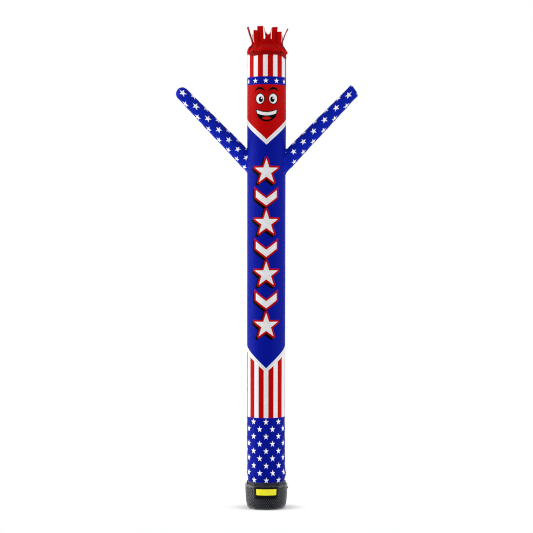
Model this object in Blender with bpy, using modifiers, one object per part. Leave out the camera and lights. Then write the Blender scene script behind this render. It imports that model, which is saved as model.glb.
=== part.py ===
"""Inflatable air dancer on its blower, in metres, +Z up, front towards -Y.

The printed tube slips over the blower's outlet collar and is drawn tight there by
a strap. Two closed sleeves are sewn to holes in its sides. A gathered cap
narrows its top to a vent, and a ring of loose strips stands in the vent's mouth.
Angles round the tube are measured from the front, towards +X.
"""
import math

import bmesh
import bpy
from mathutils import Vector

# ---- driving dimensions ----
SIDES = 48                # flat sides round the tube, the cap and the blower
STEP = math.tau / SIDES
GAP = 0.0003              # between pieces that touch

CLOTH = 0.0012            # coated nylon of the tube and the sleeves
CAP_CLOTH = 0.0015        # gathered nylon of the cap
STRIP_CLOTH = 0.0015      # loose strips and their binding

FLOOR_THICK = 0.0300      # blower's floor, heavy at the bottom
FLOOR_RADIUS = 0.2260     # its flat inside
WALL = 0.0040             # blower's moulded wall
DECK_TOP = 0.2965
OUTLET_INNER = 0.2185
OUTLET_OUTER = 0.2225
OUTLET_TOP = 0.3360
FLANGE_RADIUS = 0.2365
FLANGE_THICK = 0.0032

HEM_LOW = 0.3035
HEM_RADIUS = OUTLET_OUTER + GAP + CLOTH
STRAP_LOW = 0.3060
STRAP_WIDE = 0.0250
STRAP_THICK = 0.0020

TUBE_TOP = 5.5150
CAP_LOW = 5.4950          # the cap's skirt laps the tube from here up
CAP_TURN = 5.5220         # and leaves the tube's own shape above here

# Blower's outer side from the deck down to the foot: (radius, height)
DRUM_SIDE = (
    (0.2490, 0.2965), (0.2545, 0.2940), (0.2580, 0.2870),
    (0.2465, 0.1100), (0.2350, 0.0400), (0.2270, 0.0180), (0.2130, 0.0050), (0.1880, 0.0),
)
DRUM_TOP_RADIUS, DRUM_TOP_HEIGHT = DRUM_SIDE[2]
DRUM_MID_RADIUS, DRUM_MID_HEIGHT = DRUM_SIDE[3]

# Tube's rings, bottom to top: (height, centre x, radius)
TUBE_ROWS = (
    (HEM_LOW, 0.0000, HEM_RADIUS),
    (0.3380, 0.0000, HEM_RADIUS),
    (0.3440, 0.0000, HEM_RADIUS),
    (0.3600, 0.0005, 0.2268),
    (0.3850, 0.0010, 0.2312),
    (0.4100, 0.0020, 0.2368),
    (0.4320, 0.0015, 0.2358),
    (0.4600, 0.0000, 0.2318),
    (0.5200, -0.0010, 0.2312),
    (0.7000, -0.0030, 0.2306),
    (1.1000, -0.0040, 0.2307),
    (1.6000, -0.0030, 0.2318),
    (2.1000, -0.0020, 0.2324),
    (2.6000, -0.0010, 0.2330),
    (3.1000, -0.0004, 0.2333),
    (3.6000, 0.0000, 0.2334),
    (3.9000, 0.0004, 0.2337),
    (4.0800, 0.0010, 0.2342),
    (4.2400, 0.0018, 0.2352),
    (4.4000, 0.0025, 0.2362),
    (4.6000, 0.0035, 0.2370),
    (4.9000, 0.0040, 0.2373),
    (5.2000, 0.0040, 0.2373),
    (5.4000, 0.0040, 0.2372),
    (5.4700, 0.0040, 0.2366),
    (TUBE_TOP, 0.0040, 0.2366),
)

# Where the tube puckers: (height, full width of the belt, depth of the folds)
PUCKER_BELTS = ((0.400, 0.110, 0.0030), (5.410, 0.120, 0.0020))
PUCKER_LOBES = ((7, 0.4, 0.55), (11, 1.9, 0.45))     # (waves round, phase, share)

# Sleeves: root centre on the tube's side, direction, rings (distance along, radius)
ARM_SIDES = 24
ARM_ROWS = (
    (-0.120, 0.1060), (0.000, 0.1000), (0.045, 0.0960), (0.130, 0.0935), (0.300, 0.0900),
    (0.500, 0.0862), (0.700, 0.0820), (0.900, 0.0775), (1.060, 0.0740),
)
ARM_LEFT = {"root": (-0.2340, 0.0550, 4.2400), "rise": 45.8, "side": -1, "reach": 1.137,
            "tip_radius": 0.0712, "corner": 0.0700, "crown": 0.0}
ARM_RIGHT = {"root": (0.2410, 0.0, 4.2320), "rise": 45.6, "side": 1, "reach": 1.172,
             "tip_radius": 0.0700, "corner": 0.0260, "crown": 0.012}
TIP_TURNS = (0.0, 25.0, 45.0, 65.0)                  # degrees round the tip's corner
HOLE_REACH = 0.300                                   # how far a hole's cutter stands out
ROOT_BELT = (3.9000, 4.6000)                         # heights between which sleeves join

# Cap's rings above the tube:
# (height, centre x, half width, half depth, left ear, right ear, depth of the folds)
CAP_ROWS = (
    (5.5340, 0.0050, 0.2372, 0.2350, 0.0030, 0.0220, 0.0030),
    (5.5520, 0.0050, 0.2300, 0.2200, 0.0115, 0.0180, 0.0070),
    (5.5800, 0.0075, 0.2260, 0.1800, 0.0040, 0.0060, 0.0130),
    (5.6060, 0.0090, 0.2140, 0.1280, 0.0000, 0.0000, 0.0140),
    (5.6260, 0.0095, 0.2010, 0.0880, 0.0000, 0.0000, 0.0080),
    (5.6400, 0.0115, 0.1900, 0.0700, 0.0000, 0.0000, 0.0030),
    (5.6540, 0.0115, 0.1900, 0.0700, 0.0000, 0.0000, 0.0030),
)
CAP_LOBES = ((6, 0.9, 0.55), (11, 2.3, 0.45))
EAR_WIDE = math.radians(11.0)
SLOW_ARC = 720                                       # steps that even out a ring's spacing

# Hair: binding inside the vent, and strips that stand on it, each three ring steps wide
BINDING_LOW = 5.6410
BINDING_TOP = 5.6570
BINDING_INSET = CAP_CLOTH + 0.0005
STRIP_STEPS = 3
STRIP_HALF_WIDE = 0.0300
STRIP_LEVELS = (0.12, 0.32, 0.55, 0.78, 1.0)
TWIST_EASE = 0.6                                     # how early along a strip it twists
# (first ring step, length, lean outwards deg, sway along deg, twist deg, curl)
HAIR_STRIPS = (
    (-1, 0.150, 7.0, 1.0, 10.0, 0.010),
    (3, 0.202, 4.0, 2.0, -6.0, -0.004),
    (7, 0.146, 7.0, -4.0, 8.0, 0.008),
    (11, 0.196, 18.0, -2.0, 4.0, 0.004),
    (16, 0.150, 8.0, 2.0, 14.0, 0.012),
    (20, 0.214, 4.0, 1.5, 80.0, -0.004),
    (25, 0.220, 5.0, -1.5, -82.0, 0.004),
    (29, 0.160, 9.0, -2.0, -12.0, 0.012),
    (35, 0.208, 16.5, 2.0, -4.0, 0.004),
    (39, 0.168, 7.0, 0.5, -10.0, 0.010),
    (43, 0.223, 4.0, -4.0, 6.0, -0.004),
)

# Hooks round the outlet, the knob on the drum's right side, and the two blank labels
HOOK_COUNT = 10
HOOK_RING = 0.2430
HOOK_RADIUS = 0.0058
HOOK_HIGH = 0.0230
KNOB_RADIUS = 0.0095
KNOB_HIGH = 0.0100
KNOB_HEIGHT = 0.2480
KNOB_FACET = 11.5                                    # in ring steps from the front
PANEL = {"half_turn": 37.5, "low": 0.137, "high": 0.281, "lift": GAP, "thick": 0.001}
PLATE = {"half_turn": 28.0, "low": 0.184, "high": 0.258,
         "lift": 2 * GAP + PANEL["thick"], "thick": 0.001}

COLOURS = {
    "tube_blue": ((0.012, 0.018, 0.330), 0.45, 0.0),
    "arm_blue": ((0.010, 0.016, 0.300), 0.45, 0.0),
    "cap_red": ((0.420, 0.008, 0.006), 0.48, 0.0),
    "hair_red": ((0.400, 0.006, 0.005), 0.50, 0.0),
    "strap_black": ((0.012, 0.012, 0.014), 0.75, 0.0),
    "drum_black": ((0.035, 0.036, 0.040), 0.42, 0.0),
    "collar_grey": ((0.200, 0.200, 0.210), 0.40, 0.0),
    "hook_black": ((0.008, 0.008, 0.009), 0.50, 0.0),
    "panel_black": ((0.012, 0.012, 0.016), 0.35, 0.0),
    "plate_yellow": ((1.000, 0.900, 0.010), 0.35, 0.0),
}


# ---- helpers ----
def clear_scene():
    for old in list(bpy.data.objects):
        bpy.data.objects.remove(old, do_unlink=True)


def collection(name):
    made = bpy.data.collections.new(name)
    bpy.context.scene.collection.children.link(made)
    return made


def material(name):
    colour, roughness, metallic = COLOURS[name]
    made = bpy.data.materials.new(name)
    made.use_nodes = True
    shader = made.node_tree.nodes["Principled BSDF"]
    shader.inputs["Base Color"].default_value = (*colour, 1.0)
    shader.inputs["Roughness"].default_value = roughness
    shader.inputs["Metallic"].default_value = metallic
    made.diffuse_color = (*colour, 1.0)
    return made


def add_object(name, mesh, home, finish=None):
    """Put a mesh in a collection as a named object, shaded smooth with sharp edges."""
    made = bpy.data.objects.new(name, mesh)
    home.objects.link(made)
    if finish:
        mesh.materials.append(finish)
    mesh.shade_smooth()
    mesh.set_sharp_from_angle(angle=math.radians(40))
    return made


def as_cutter(obj):
    obj.hide_render = True
    obj.display_type = "WIRE"
    return obj


def loft_mesh(name, rings, fill_ends=False, wrap=False):
    """Skin rings of points, bottom to top. A ring of one point closes that end."""
    bm = bmesh.new()
    rows = [[bm.verts.new(point) for point in ring] for ring in rings]
    pairs = list(zip(rows, rows[1:]))
    if wrap:
        pairs.append((rows[-1], rows[0]))
    for low, high in pairs:
        count = max(len(low), len(high))
        for i in range(count):
            j = (i + 1) % count
            if len(high) == 1:
                bm.faces.new((low[i], low[j], high[0]))
            else:
                bm.faces.new((low[i], low[j], high[j], high[i]))
    if fill_ends:
        for ring in (rows[0][::-1], rows[-1]):
            if len(ring) > 1:
                bm.faces.new(ring)
    bmesh.ops.recalc_face_normals(bm, faces=bm.faces)
    mesh = bpy.data.meshes.new(name)
    bm.to_mesh(mesh)
    bm.free()
    return mesh


def turned(name, profile, home, finish, closed):
    """Turn a profile of (radius, height) points about Z."""
    mesh = bpy.data.meshes.new(name)
    count = len(profile)
    edges = [(i, i + 1) for i in range(count - 1)]
    if closed:
        edges.append((count - 1, 0))
    mesh.from_pydata([(radius, 0.0, height) for radius, height in profile], edges, [])
    obj = add_object(name, mesh, home, finish)
    screw = obj.modifiers.new("turn", "SCREW")
    screw.steps = SIDES
    screw.render_steps = SIDES
    screw.use_merge_vertices = True
    screw.merge_threshold = 0.00001
    screw.use_smooth_shade = True
    return obj


def thicken(obj, thickness):
    """Give an open cloth surface its thickness, on its inner side."""
    solid = obj.modifiers.new("cloth", "SOLIDIFY")
    solid.thickness = thickness
    solid.offset = -1.0
    solid.use_even_offset = True
    return obj


def cut(obj, cutter):
    boolean = obj.modifiers.new("cut", "BOOLEAN")
    boolean.operation = "DIFFERENCE"
    boolean.solver = "EXACT"
    boolean.object = cutter


def waves(angle, lobes):
    return sum(share * math.cos(count * angle + phase) for count, phase, share in lobes)


# ---- tube ----
def pucker(height, angle):
    depth = 0.0
    for middle, wide, deep in PUCKER_BELTS:
        reach = abs(height - middle) / (wide / 2)
        if reach < 1.0:
            depth += deep * math.cos(reach * math.pi / 2) ** 2
    return depth * waves(angle, PUCKER_LOBES)


def tube_ring(row, lift=0.0):
    height, centre, radius = row
    ring = []
    for i in range(SIDES):
        angle = i * STEP
        reach = radius + pucker(height, angle) + lift
        ring.append(Vector((centre + reach * math.sin(angle), -reach * math.cos(angle), height)))
    return ring


def make_tube(home, cutters):
    mesh = loft_mesh("body_tube", [tube_ring(row) for row in TUBE_ROWS])
    tube = thicken(add_object("body_tube", mesh, home, material("tube_blue")), CLOTH)
    for cutter in cutters:
        cut(tube, cutter)
    return tube


def make_root_cutter(home):
    """The tube's own outside where the sleeves join, lifted by the gap."""
    low, high = ROOT_BELT
    rings = [tube_ring(row, GAP) for row in TUBE_ROWS if low <= row[0] <= high]
    mesh = loft_mesh("root_cutter", rings, fill_ends=True)
    return as_cutter(add_object("root_cutter", mesh, home))


# ---- sleeves ----
def arm_ring(arm, along, radius):
    rise = math.radians(arm["rise"])
    axis = Vector((arm["side"] * math.cos(rise), 0.0, math.sin(rise)))
    across = Vector((0.0, -1.0, 0.0))
    up = across.cross(axis) * arm["side"]
    centre = Vector(arm["root"]) + axis * along
    if radius <= 0.0:
        return [centre]
    ring = []
    for i in range(ARM_SIDES):
        angle = math.tau * i / ARM_SIDES
        ring.append(centre + (across * math.sin(angle) + up * math.cos(angle)) * radius)
    return ring


def arm_rows(arm):
    """Straight rows of the sleeve, then its tip turned round the corner radius."""
    corner = arm["corner"]
    flat = arm["tip_radius"] - corner
    rows = list(ARM_ROWS)
    for turn in TIP_TURNS:
        bend = math.radians(turn)
        rows.append((arm["reach"] + corner * math.sin(bend), flat + corner * math.cos(bend)))
    if arm["crown"]:
        rows.append((arm["reach"] + corner, flat))
    rows.append((arm["reach"] + corner + arm["crown"], 0.0))
    return rows


def make_arm(name, arm, home, root_cutter):
    mesh = loft_mesh(name, [arm_ring(arm, *row) for row in arm_rows(arm)])
    sleeve = thicken(add_object(name, mesh, home, material("arm_blue")), CLOTH)
    cut(sleeve, root_cutter)
    return sleeve


def make_hole_cutter(name, arm, home):
    rows = [(along, radius - CLOTH) for along, radius in ARM_ROWS if along <= HOLE_REACH]
    mesh = loft_mesh(name, [arm_ring(arm, *row) for row in rows], fill_ends=True)
    return as_cutter(add_object(name, mesh, home))


# ---- cap ----
def cap_outline(row, angle):
    """One point of a cap's ring at a turn from the front, before the spacing is evened."""
    _, centre, half_wide, half_deep, ear_left, ear_right, fold = row
    side = math.sin(angle)
    ear = ear_right if side > 0 else ear_left
    beak = ear * math.exp(-((math.acos(min(1.0, abs(side)))) / EAR_WIDE) ** 2)
    swell = 1.0 + fold * waves(angle, CAP_LOBES) / half_wide
    x = (half_wide * swell + beak) * side
    y = -(half_deep + fold * waves(angle, CAP_LOBES)) * math.cos(angle)
    return Vector((centre + x, y, row[0]))


def even_ring(row):
    """A cap's ring with its points the same distance apart."""
    dense = [cap_outline(row, math.tau * i / SLOW_ARC) for i in range(SLOW_ARC + 1)]
    travelled = [0.0]
    for before, after in zip(dense, dense[1:]):
        travelled.append(travelled[-1] + (after - before).length)
    ring = []
    spot = 0
    for i in range(SIDES):
        wanted = travelled[-1] * i / SIDES
        while travelled[spot + 1] < wanted:
            spot += 1
        share = (wanted - travelled[spot]) / (travelled[spot + 1] - travelled[spot])
        ring.append(dense[spot].lerp(dense[spot + 1], share))
    return ring


def make_cap(home):
    lift = GAP + CAP_CLOTH
    skirt = [(height, TUBE_ROWS[-1][1], TUBE_ROWS[-1][2]) for height in (CAP_LOW, CAP_TURN)]
    rings = [tube_ring(row, lift) for row in skirt] + [even_ring(row) for row in CAP_ROWS]
    mesh = loft_mesh("head_cap", rings)
    return thicken(add_object("head_cap", mesh, home, material("cap_red")), CAP_CLOTH)


# ---- hair ----
def inset_ring(ring, inset, height):
    """Move a ring's points inwards, square to its outline, and set their height."""
    moved = []
    for i, point in enumerate(ring):
        along = ring[(i + 1) % len(ring)] - ring[i - 1]
        inwards = Vector((-along.y, along.x, 0.0)).normalized()
        spot = point + inwards * inset
        moved.append(Vector((spot.x, spot.y, height)))
    return moved


def strip_level(outer, inner, strip, share):
    """Points across one strip at a share of its length: outer row, then inner row."""
    _, length, lean, sway, twist, curl = strip
    foot = sum(outer, Vector()) / len(outer)
    along = (outer[-1] - outer[0]).normalized()
    outwards = Vector((along.y, -along.x, 0.0))
    reach = length * share
    middle = foot + Vector((0.0, 0.0, reach * math.cos(math.radians(lean))))
    middle += outwards * (reach * math.sin(math.radians(lean)) + curl * math.sin(share * math.pi))
    middle += along * reach * math.tan(math.radians(sway))
    turn = math.radians(twist) * share ** TWIST_EASE
    wide = along * math.cos(turn) + outwards * math.sin(turn)
    face = Vector((wide.y, -wide.x, 0.0))
    flatten = min(1.0, share * 4.0)
    rows = ([], [])
    for i in range(len(outer)):
        spot = wide * STRIP_HALF_WIDE * (2.0 * i / (len(outer) - 1) - 1.0)
        for points, base, back in zip(rows, (outer[i], inner[i]), (0.0, STRIP_CLOTH)):
            bowed = base - foot + (middle - foot)
            points.append(foot + bowed.lerp(middle - foot + spot - face * back, flatten))
            points[-1].z = middle.z
    return rows


def make_hair(home):
    neck = even_ring(CAP_ROWS[-1])
    bm = bmesh.new()

    def row_of(points):
        return [bm.verts.new(point) for point in points]

    outer_points = inset_ring(neck, BINDING_INSET, BINDING_TOP)
    inner_points = inset_ring(neck, BINDING_INSET + STRIP_CLOTH, BINDING_TOP)
    outer_low = row_of(inset_ring(neck, BINDING_INSET, BINDING_LOW))
    inner_low = row_of(inset_ring(neck, BINDING_INSET + STRIP_CLOTH, BINDING_LOW))
    outer_top = row_of(outer_points)
    inner_top = row_of(inner_points)
    for i in range(SIDES):
        j = (i + 1) % SIDES
        bm.faces.new((outer_low[i], outer_low[j], outer_top[j], outer_top[i]))
        bm.faces.new((inner_low[j], inner_low[i], inner_top[i], inner_top[j]))
        bm.faces.new((outer_low[j], outer_low[i], inner_low[i], inner_low[j]))

    covered = set()
    for strip in HAIR_STRIPS:
        spots = [(strip[0] + i) % SIDES for i in range(STRIP_STEPS + 1)]
        covered.update(spots[:-1])
        below = ([outer_top[i] for i in spots], [inner_top[i] for i in spots])
        base = ([outer_points[i] for i in spots], [inner_points[i] for i in spots])
        for share in STRIP_LEVELS:
            above = tuple(row_of(points) for points in strip_level(*base, strip, share))
            loop_low = below[0] + below[1][::-1]
            loop_high = above[0] + above[1][::-1]
            for i in range(len(loop_low)):
                j = (i + 1) % len(loop_low)
                bm.faces.new((loop_low[i], loop_low[j], loop_high[j], loop_high[i]))
            below = above
        for i in range(STRIP_STEPS):
            bm.faces.new((below[0][i], below[0][i + 1], below[1][i + 1], below[1][i]))
    for i in range(SIDES):
        if i not in covered:
            j = (i + 1) % SIDES
            bm.faces.new((outer_top[i], outer_top[j], inner_top[j], inner_top[i]))
    bmesh.ops.recalc_face_normals(bm, faces=bm.faces)
    mesh = bpy.data.meshes.new("head_hair")
    bm.to_mesh(mesh)
    bm.free()
    return add_object("head_hair", mesh, home, material("hair_red"))


# ---- strap and blower ----
def make_strap(home):
    inner = HEM_RADIUS + GAP
    outer = inner + STRAP_THICK
    high = STRAP_LOW + STRAP_WIDE
    profile = ((inner, high), (outer, high), (outer, STRAP_LOW), (inner, STRAP_LOW))
    return turned("tie_strap", profile, home, material("strap_black"), closed=True)


def make_drum(home):
    """Open-topped drum: up its inner side to the outlet's edge, then down its outer side."""
    inside = [(0.0, FLOOR_THICK), (FLOOR_RADIUS, FLOOR_THICK),
              (DRUM_MID_RADIUS - WALL, DRUM_MID_HEIGHT),
              (DRUM_TOP_RADIUS - 2 * WALL, DECK_TOP - WALL),
              (OUTLET_INNER, DECK_TOP - WALL), (OUTLET_INNER, DECK_TOP)]
    profile = inside + list(DRUM_SIDE) + [(0.0, 0.0)]
    return turned("blower_drum", profile, home, material("drum_black"), closed=False)


def make_collar(home):
    foot = DECK_TOP + GAP
    flange = foot + FLANGE_THICK
    profile = (
        (OUTLET_INNER, OUTLET_TOP), (OUTLET_OUTER, OUTLET_TOP), (OUTLET_OUTER, flange),
        (FLANGE_RADIUS, flange), (FLANGE_RADIUS, foot), (OUTLET_INNER, foot),
    )
    return turned("outlet_collar", profile, home, material("collar_grey"), closed=True)


def make_peg(name, radius, high, home, finish):
    """A round peg standing on its own origin, its top edge rounded."""
    bm = bmesh.new()
    bmesh.ops.create_cone(bm, cap_ends=True, segments=16, radius1=radius, radius2=radius, depth=high)
    bmesh.ops.translate(bm, verts=bm.verts, vec=(0.0, 0.0, high / 2))
    top = [edge for edge in bm.edges if all(v.co.z > high * 0.9 for v in edge.verts)]
    bmesh.ops.bevel(bm, geom=top, offset=radius * 0.45, segments=2, affect="EDGES", profile=0.5)
    mesh = bpy.data.meshes.new(name)
    bm.to_mesh(mesh)
    bm.free()
    return add_object(name, mesh, home, finish)


def make_hooks(home):
    finish = material("hook_black")
    for i in range(HOOK_COUNT):
        hook = make_peg(f"hook_{i + 1:02d}", HOOK_RADIUS, HOOK_HIGH, home, finish)
        angle = math.tau * i / HOOK_COUNT
        hook.location = (HOOK_RING * math.sin(angle), -HOOK_RING * math.cos(angle), DECK_TOP + GAP)


def drum_spot(turn, height, lift):
    """A point on the drum's flat-sided wall between its shoulder and middle, lifted off it."""
    slope = (DRUM_TOP_RADIUS - DRUM_MID_RADIUS) / (DRUM_TOP_HEIGHT - DRUM_MID_HEIGHT)
    corner = DRUM_MID_RADIUS + slope * (height - DRUM_MID_HEIGHT)
    flat = corner * math.cos(STEP / 2) + lift / math.cos(math.atan(slope))
    middle = (math.floor(turn / STEP + 1e-6) + 0.5) * STEP
    reach = flat / math.cos(turn - middle)
    return Vector((reach * math.sin(turn), -reach * math.cos(turn), height))


def make_side_knob(home):
    knob = make_peg("side_knob", KNOB_RADIUS, KNOB_HIGH, home, material("hook_black"))
    turn = KNOB_FACET * STEP
    foot = drum_spot(turn, KNOB_HEIGHT, GAP)
    above = drum_spot(turn, KNOB_HEIGHT + 0.01, GAP)
    across = Vector((math.cos(turn), math.sin(turn), 0.0))
    outwards = across.cross(above - foot).normalized()
    knob.rotation_mode = "QUATERNION"
    knob.rotation_quaternion = outwards.to_track_quat("Z", "Y")
    knob.location = foot


def make_label(name, label, home, finish):
    """A thin sheet that follows the drum's flats between two turns and two heights."""
    half = math.radians(label["half_turn"])
    inside = int(half / STEP - 1e-6)
    turns = [-half] + [i * STEP for i in range(-inside, inside + 1)] + [half]
    rings = []
    for turn in turns:
        spots = ((label["low"], label["lift"]), (label["high"], label["lift"]),
                 (label["high"], label["lift"] + label["thick"]),
                 (label["low"], label["lift"] + label["thick"]))
        rings.append([drum_spot(turn, height, lift) for height, lift in spots])
    return add_object(name, loft_mesh(name, rings, fill_ends=True), home, finish)


def main():
    clear_scene()
    parts = collection("air_dancer_on_blower")
    cutters = collection("cutters")
    root_cutter = make_root_cutter(cutters)
    holes = [make_hole_cutter("hole_left", ARM_LEFT, cutters),
             make_hole_cutter("hole_right", ARM_RIGHT, cutters)]
    make_tube(parts, holes)
    make_arm("arm_left", ARM_LEFT, parts, root_cutter)
    make_arm("arm_right", ARM_RIGHT, parts, root_cutter)
    make_cap(parts)
    make_hair(parts)
    make_strap(parts)
    make_drum(parts)
    make_collar(parts)
    make_hooks(parts)
    make_side_knob(parts)
    make_label("label_panel", PANEL, parts, material("panel_black"))
    make_label("label_plate", PLATE, parts, material("plate_yellow"))


main()
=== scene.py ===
"""Dresses the air dancer: printed nylon tube and sleeves, gathered cap, loose strips, latticed blower.

Metres, +Z up, front towards -Y. Turns round the tube are measured from the front towards +X.
"""
import math

import bmesh
import bpy
from bpy.props import FloatProperty, FloatVectorProperty, IntProperty, PointerProperty
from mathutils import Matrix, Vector, noise


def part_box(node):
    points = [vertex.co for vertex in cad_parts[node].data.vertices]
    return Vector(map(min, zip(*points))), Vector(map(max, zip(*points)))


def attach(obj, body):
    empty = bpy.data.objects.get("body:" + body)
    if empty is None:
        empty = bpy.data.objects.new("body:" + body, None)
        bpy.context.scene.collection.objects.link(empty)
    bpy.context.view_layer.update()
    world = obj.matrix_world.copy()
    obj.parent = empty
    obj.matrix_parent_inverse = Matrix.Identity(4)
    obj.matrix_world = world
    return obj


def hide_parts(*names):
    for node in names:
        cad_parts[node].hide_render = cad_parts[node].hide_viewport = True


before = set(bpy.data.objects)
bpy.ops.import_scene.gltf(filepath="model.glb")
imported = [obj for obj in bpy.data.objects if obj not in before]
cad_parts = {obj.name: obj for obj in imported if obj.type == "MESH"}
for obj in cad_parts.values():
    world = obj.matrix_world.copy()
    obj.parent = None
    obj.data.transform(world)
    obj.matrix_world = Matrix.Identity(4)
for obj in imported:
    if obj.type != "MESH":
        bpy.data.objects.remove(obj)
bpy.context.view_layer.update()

bl_info = {
    "name": "Air dancer dressing",
    "version": (1, 0, 0),
    "blender": (4, 5, 0),
    "location": "3D View > Sidebar > Air dancer",
    "description": "Builds the cloth, the prints and the latticed blower round the packed frame",
    "category": "Object",
}

BODY = "root"
CLOTH_MAP = "cloth"
PAINTED_LIGHT_ATTRIBUTE = "painted_light"           # light and shade painted into the colour of the cap and of the strips, from 0 to 1
VECTOR = "ShaderNodeVectorMath"


def linear(code):
    """Linear RGB of an sRGB hex colour."""
    shares = (int(code[i:i + 2], 16) / 255.0 for i in (1, 3, 5))
    return tuple(c / 12.92 if c <= 0.04045 else ((c + 0.055) / 1.055) ** 2.4 for c in shares)


# ---- shape of the tube: (height, centre x, radius), as the frame's tube has it ----
HEM_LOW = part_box("body_tube")[0].z
TUBE_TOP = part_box("body_tube")[1].z
TUBE_ROWS = (
    (HEM_LOW, 0.0, 0.2240), (0.3400, 0.0, 0.2240), (0.3600, 0.0005, 0.2268), (0.3850, 0.0010, 0.2312),
    (0.4100, 0.0020, 0.2368), (0.4320, 0.0015, 0.2358), (0.4600, 0.0, 0.2318), (0.5200, -0.0010, 0.2312),
    (0.7000, -0.0030, 0.2306), (1.1000, -0.0040, 0.2307), (2.1000, -0.0020, 0.2324),
    (3.1000, -0.0004, 0.2333), (3.9000, 0.0004, 0.2337), (4.2400, 0.0018, 0.2352), (4.6000, 0.0035, 0.2370),
    (4.9000, 0.0040, 0.2373), (5.4000, 0.0040, 0.2372), (5.4700, 0.0040, 0.2366), (TUBE_TOP, 0.0040, 0.2366),
)
TUBE_SIDES = 96
TUBE_MEAN = 0.2335                # mean radius
TUBE_GIRTH = math.tau * TUBE_MEAN
# Rows of the fine surface: (up to this height, a row every so many metres)
TUBE_STEPS = ((0.520, 0.0045), (0.640, 0.008), (1.150, 0.014), (3.900, 0.036), (4.620, 0.015),
              (5.300, 0.032), (TUBE_TOP, 0.009))
# Gathers round the foot and under the cap: (how many round, start, share)
FOOT_GATHERS = ((7, 0.4, 0.35), (11, 1.9, 0.30), (19, 0.7, 0.25), (29, 2.2, 0.10))
TOP_GATHERS = ((7, 0.4, 0.4), (13, 1.1, 0.3), (23, 2.9, 0.3))
# Where those are, and where the cloth sags in short folds above the strap: (height, reach)
FOOT_AT, TOP_AT, SAG_AT = (0.395, 0.060), (5.405, 0.050), (0.445, 0.050)
HELD_LOW, HELD_TOP = (0.350, 0.380), (5.480, 5.440)                # where its ends are held smooth
RUMPLED = (1.120, 1.020)          # the foot's small dents start below this
SEAM_HEIGHTS = (0.345, 5.500)
SEAM_THICK = 0.0008
# Across the back seam: (place, how far it stands off the tube)
SEAM_ROLL = ((-0.0065, 0.0002), (-0.0045, 0.0012), (0.0, 0.0014), (0.0045, 0.0012), (0.0065, 0.0002))

# ---- level creases above the strap: (turn, height, reach to each side, depth, rise per radian) ----
FOOT_CREASES = (
    (-62, 0.4190, 21, 0.0043, 0.012), (-3, 0.4650, 12, 0.0036, -0.050), (64, 0.4500, 13, 0.0045, 0.040),
    (-30, 0.3920, 17, 0.0029, 0.050), (24, 0.3990, 16, 0.0029, -0.030), (-84, 0.4560, 12, 0.0026, -0.030),
    (44, 0.4830, 12, 0.0022, -0.040), (88, 0.4080, 14, 0.0040, 0.010), (-14, 0.4200, 13, 0.0024, 0.016),
    (-42, 0.4760, 12, 0.0019, 0.030), (118, 0.4520, 18, 0.0037, -0.020), (143, 0.4060, 20, 0.0036, 0.030),
    (176, 0.4450, 16, 0.0036, 0.020), (-158, 0.4100, 18, 0.0037, -0.030), (-132, 0.4620, 16, 0.0033, 0.030),
    (-106, 0.4140, 14, 0.0035, -0.010),
)
CREASE_TALL = 0.0075
CREASED = (0.345, 0.540)

# ---- print: heights where its zones start. A V falls from its height at the sides to its tip ----
PLAIN_FOOT = 0.3250               # no stars below this
STRIPES_FROM = 1.1140
# Each white V with a fine seam along its middle: edges of white, seam, white and the zone above
LOWER_V = ((1.9150, 1.6600), (1.9500, 1.6850), (1.9570, 1.6920), (1.9800, 1.7120))
UPPER_V = ((4.6720, 4.4100), (4.7080, 4.4400), (4.7150, 4.4470), (4.7400, 4.4730))
BAND_FROM = 5.1380
HAT_FROM = 5.2340
V_CURVE = 1.36                    # how much a V's sides bow
BESIDE_AT, BESIDE_WIDE = 78, 13   # degrees from the front where the stripes lie further out
EMBLEM_TOP = 4.0850               # middle of the topmost large star
# A chevron: slope of its bars, half their thickness, half its width, and how far below the middle it lies
CHEVRON_SLOPE, CHEVRON_THICK, CHEVRON_WIDE, CHEVRON_LOW = 0.75, 0.034, 0.132, 0.055

# ---- sleeves: root centre, rise, tip, and the print's places along them ----
ARM_SIDES = 64
ARM_TAPER = ((0.0, 0.1000), (0.045, 0.0960), (0.13, 0.0935), (0.30, 0.0900), (0.50, 0.0862),
             (0.70, 0.0820), (0.90, 0.0775), (1.06, 0.0740))
ARM_LEFT = {"name": "left", "root": (-0.2340, 0.0550, 4.2350), "rise": 45.8, "side": -1, "reach": 1.140,
            "stout": 0.0062, "tip_radius": 0.0774, "corner": 0.0760, "crown": 0.0,
            "first_star": 0.029, "pitch": (0.135, 0.0925), "slant": 0.0}
ARM_RIGHT = {"name": "right", "root": (0.2410, 0.0, 4.2230), "rise": 46.0, "side": 1, "reach": 1.176,
             "stout": 0.0044, "tip_radius": 0.0752, "corner": 0.0190, "crown": 0.012,
             "first_star": 0.1407, "pitch": (0.1550, 0.062), "slant": 0.21}
ARM_ROWS = (0.0, 0.004, 0.010, 0.017, 0.025, 0.034)                # the first ones, which are closer
ARM_EVEN = 0.045                  # where the even rows start
ARM_ROW = 0.014
FLARE = 0.012                     # how far a sleeve's root opens out to its seam
FLARE_LONG = 0.040
ROOT_FADE = 0.300                 # where a sleeve's rows have turned square to it
CUTTER_HALF = 0.16                # half the length of the cutter for its hole
ROOT_SEAM = 0.0022                # radius of the rolled seam at its root

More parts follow.
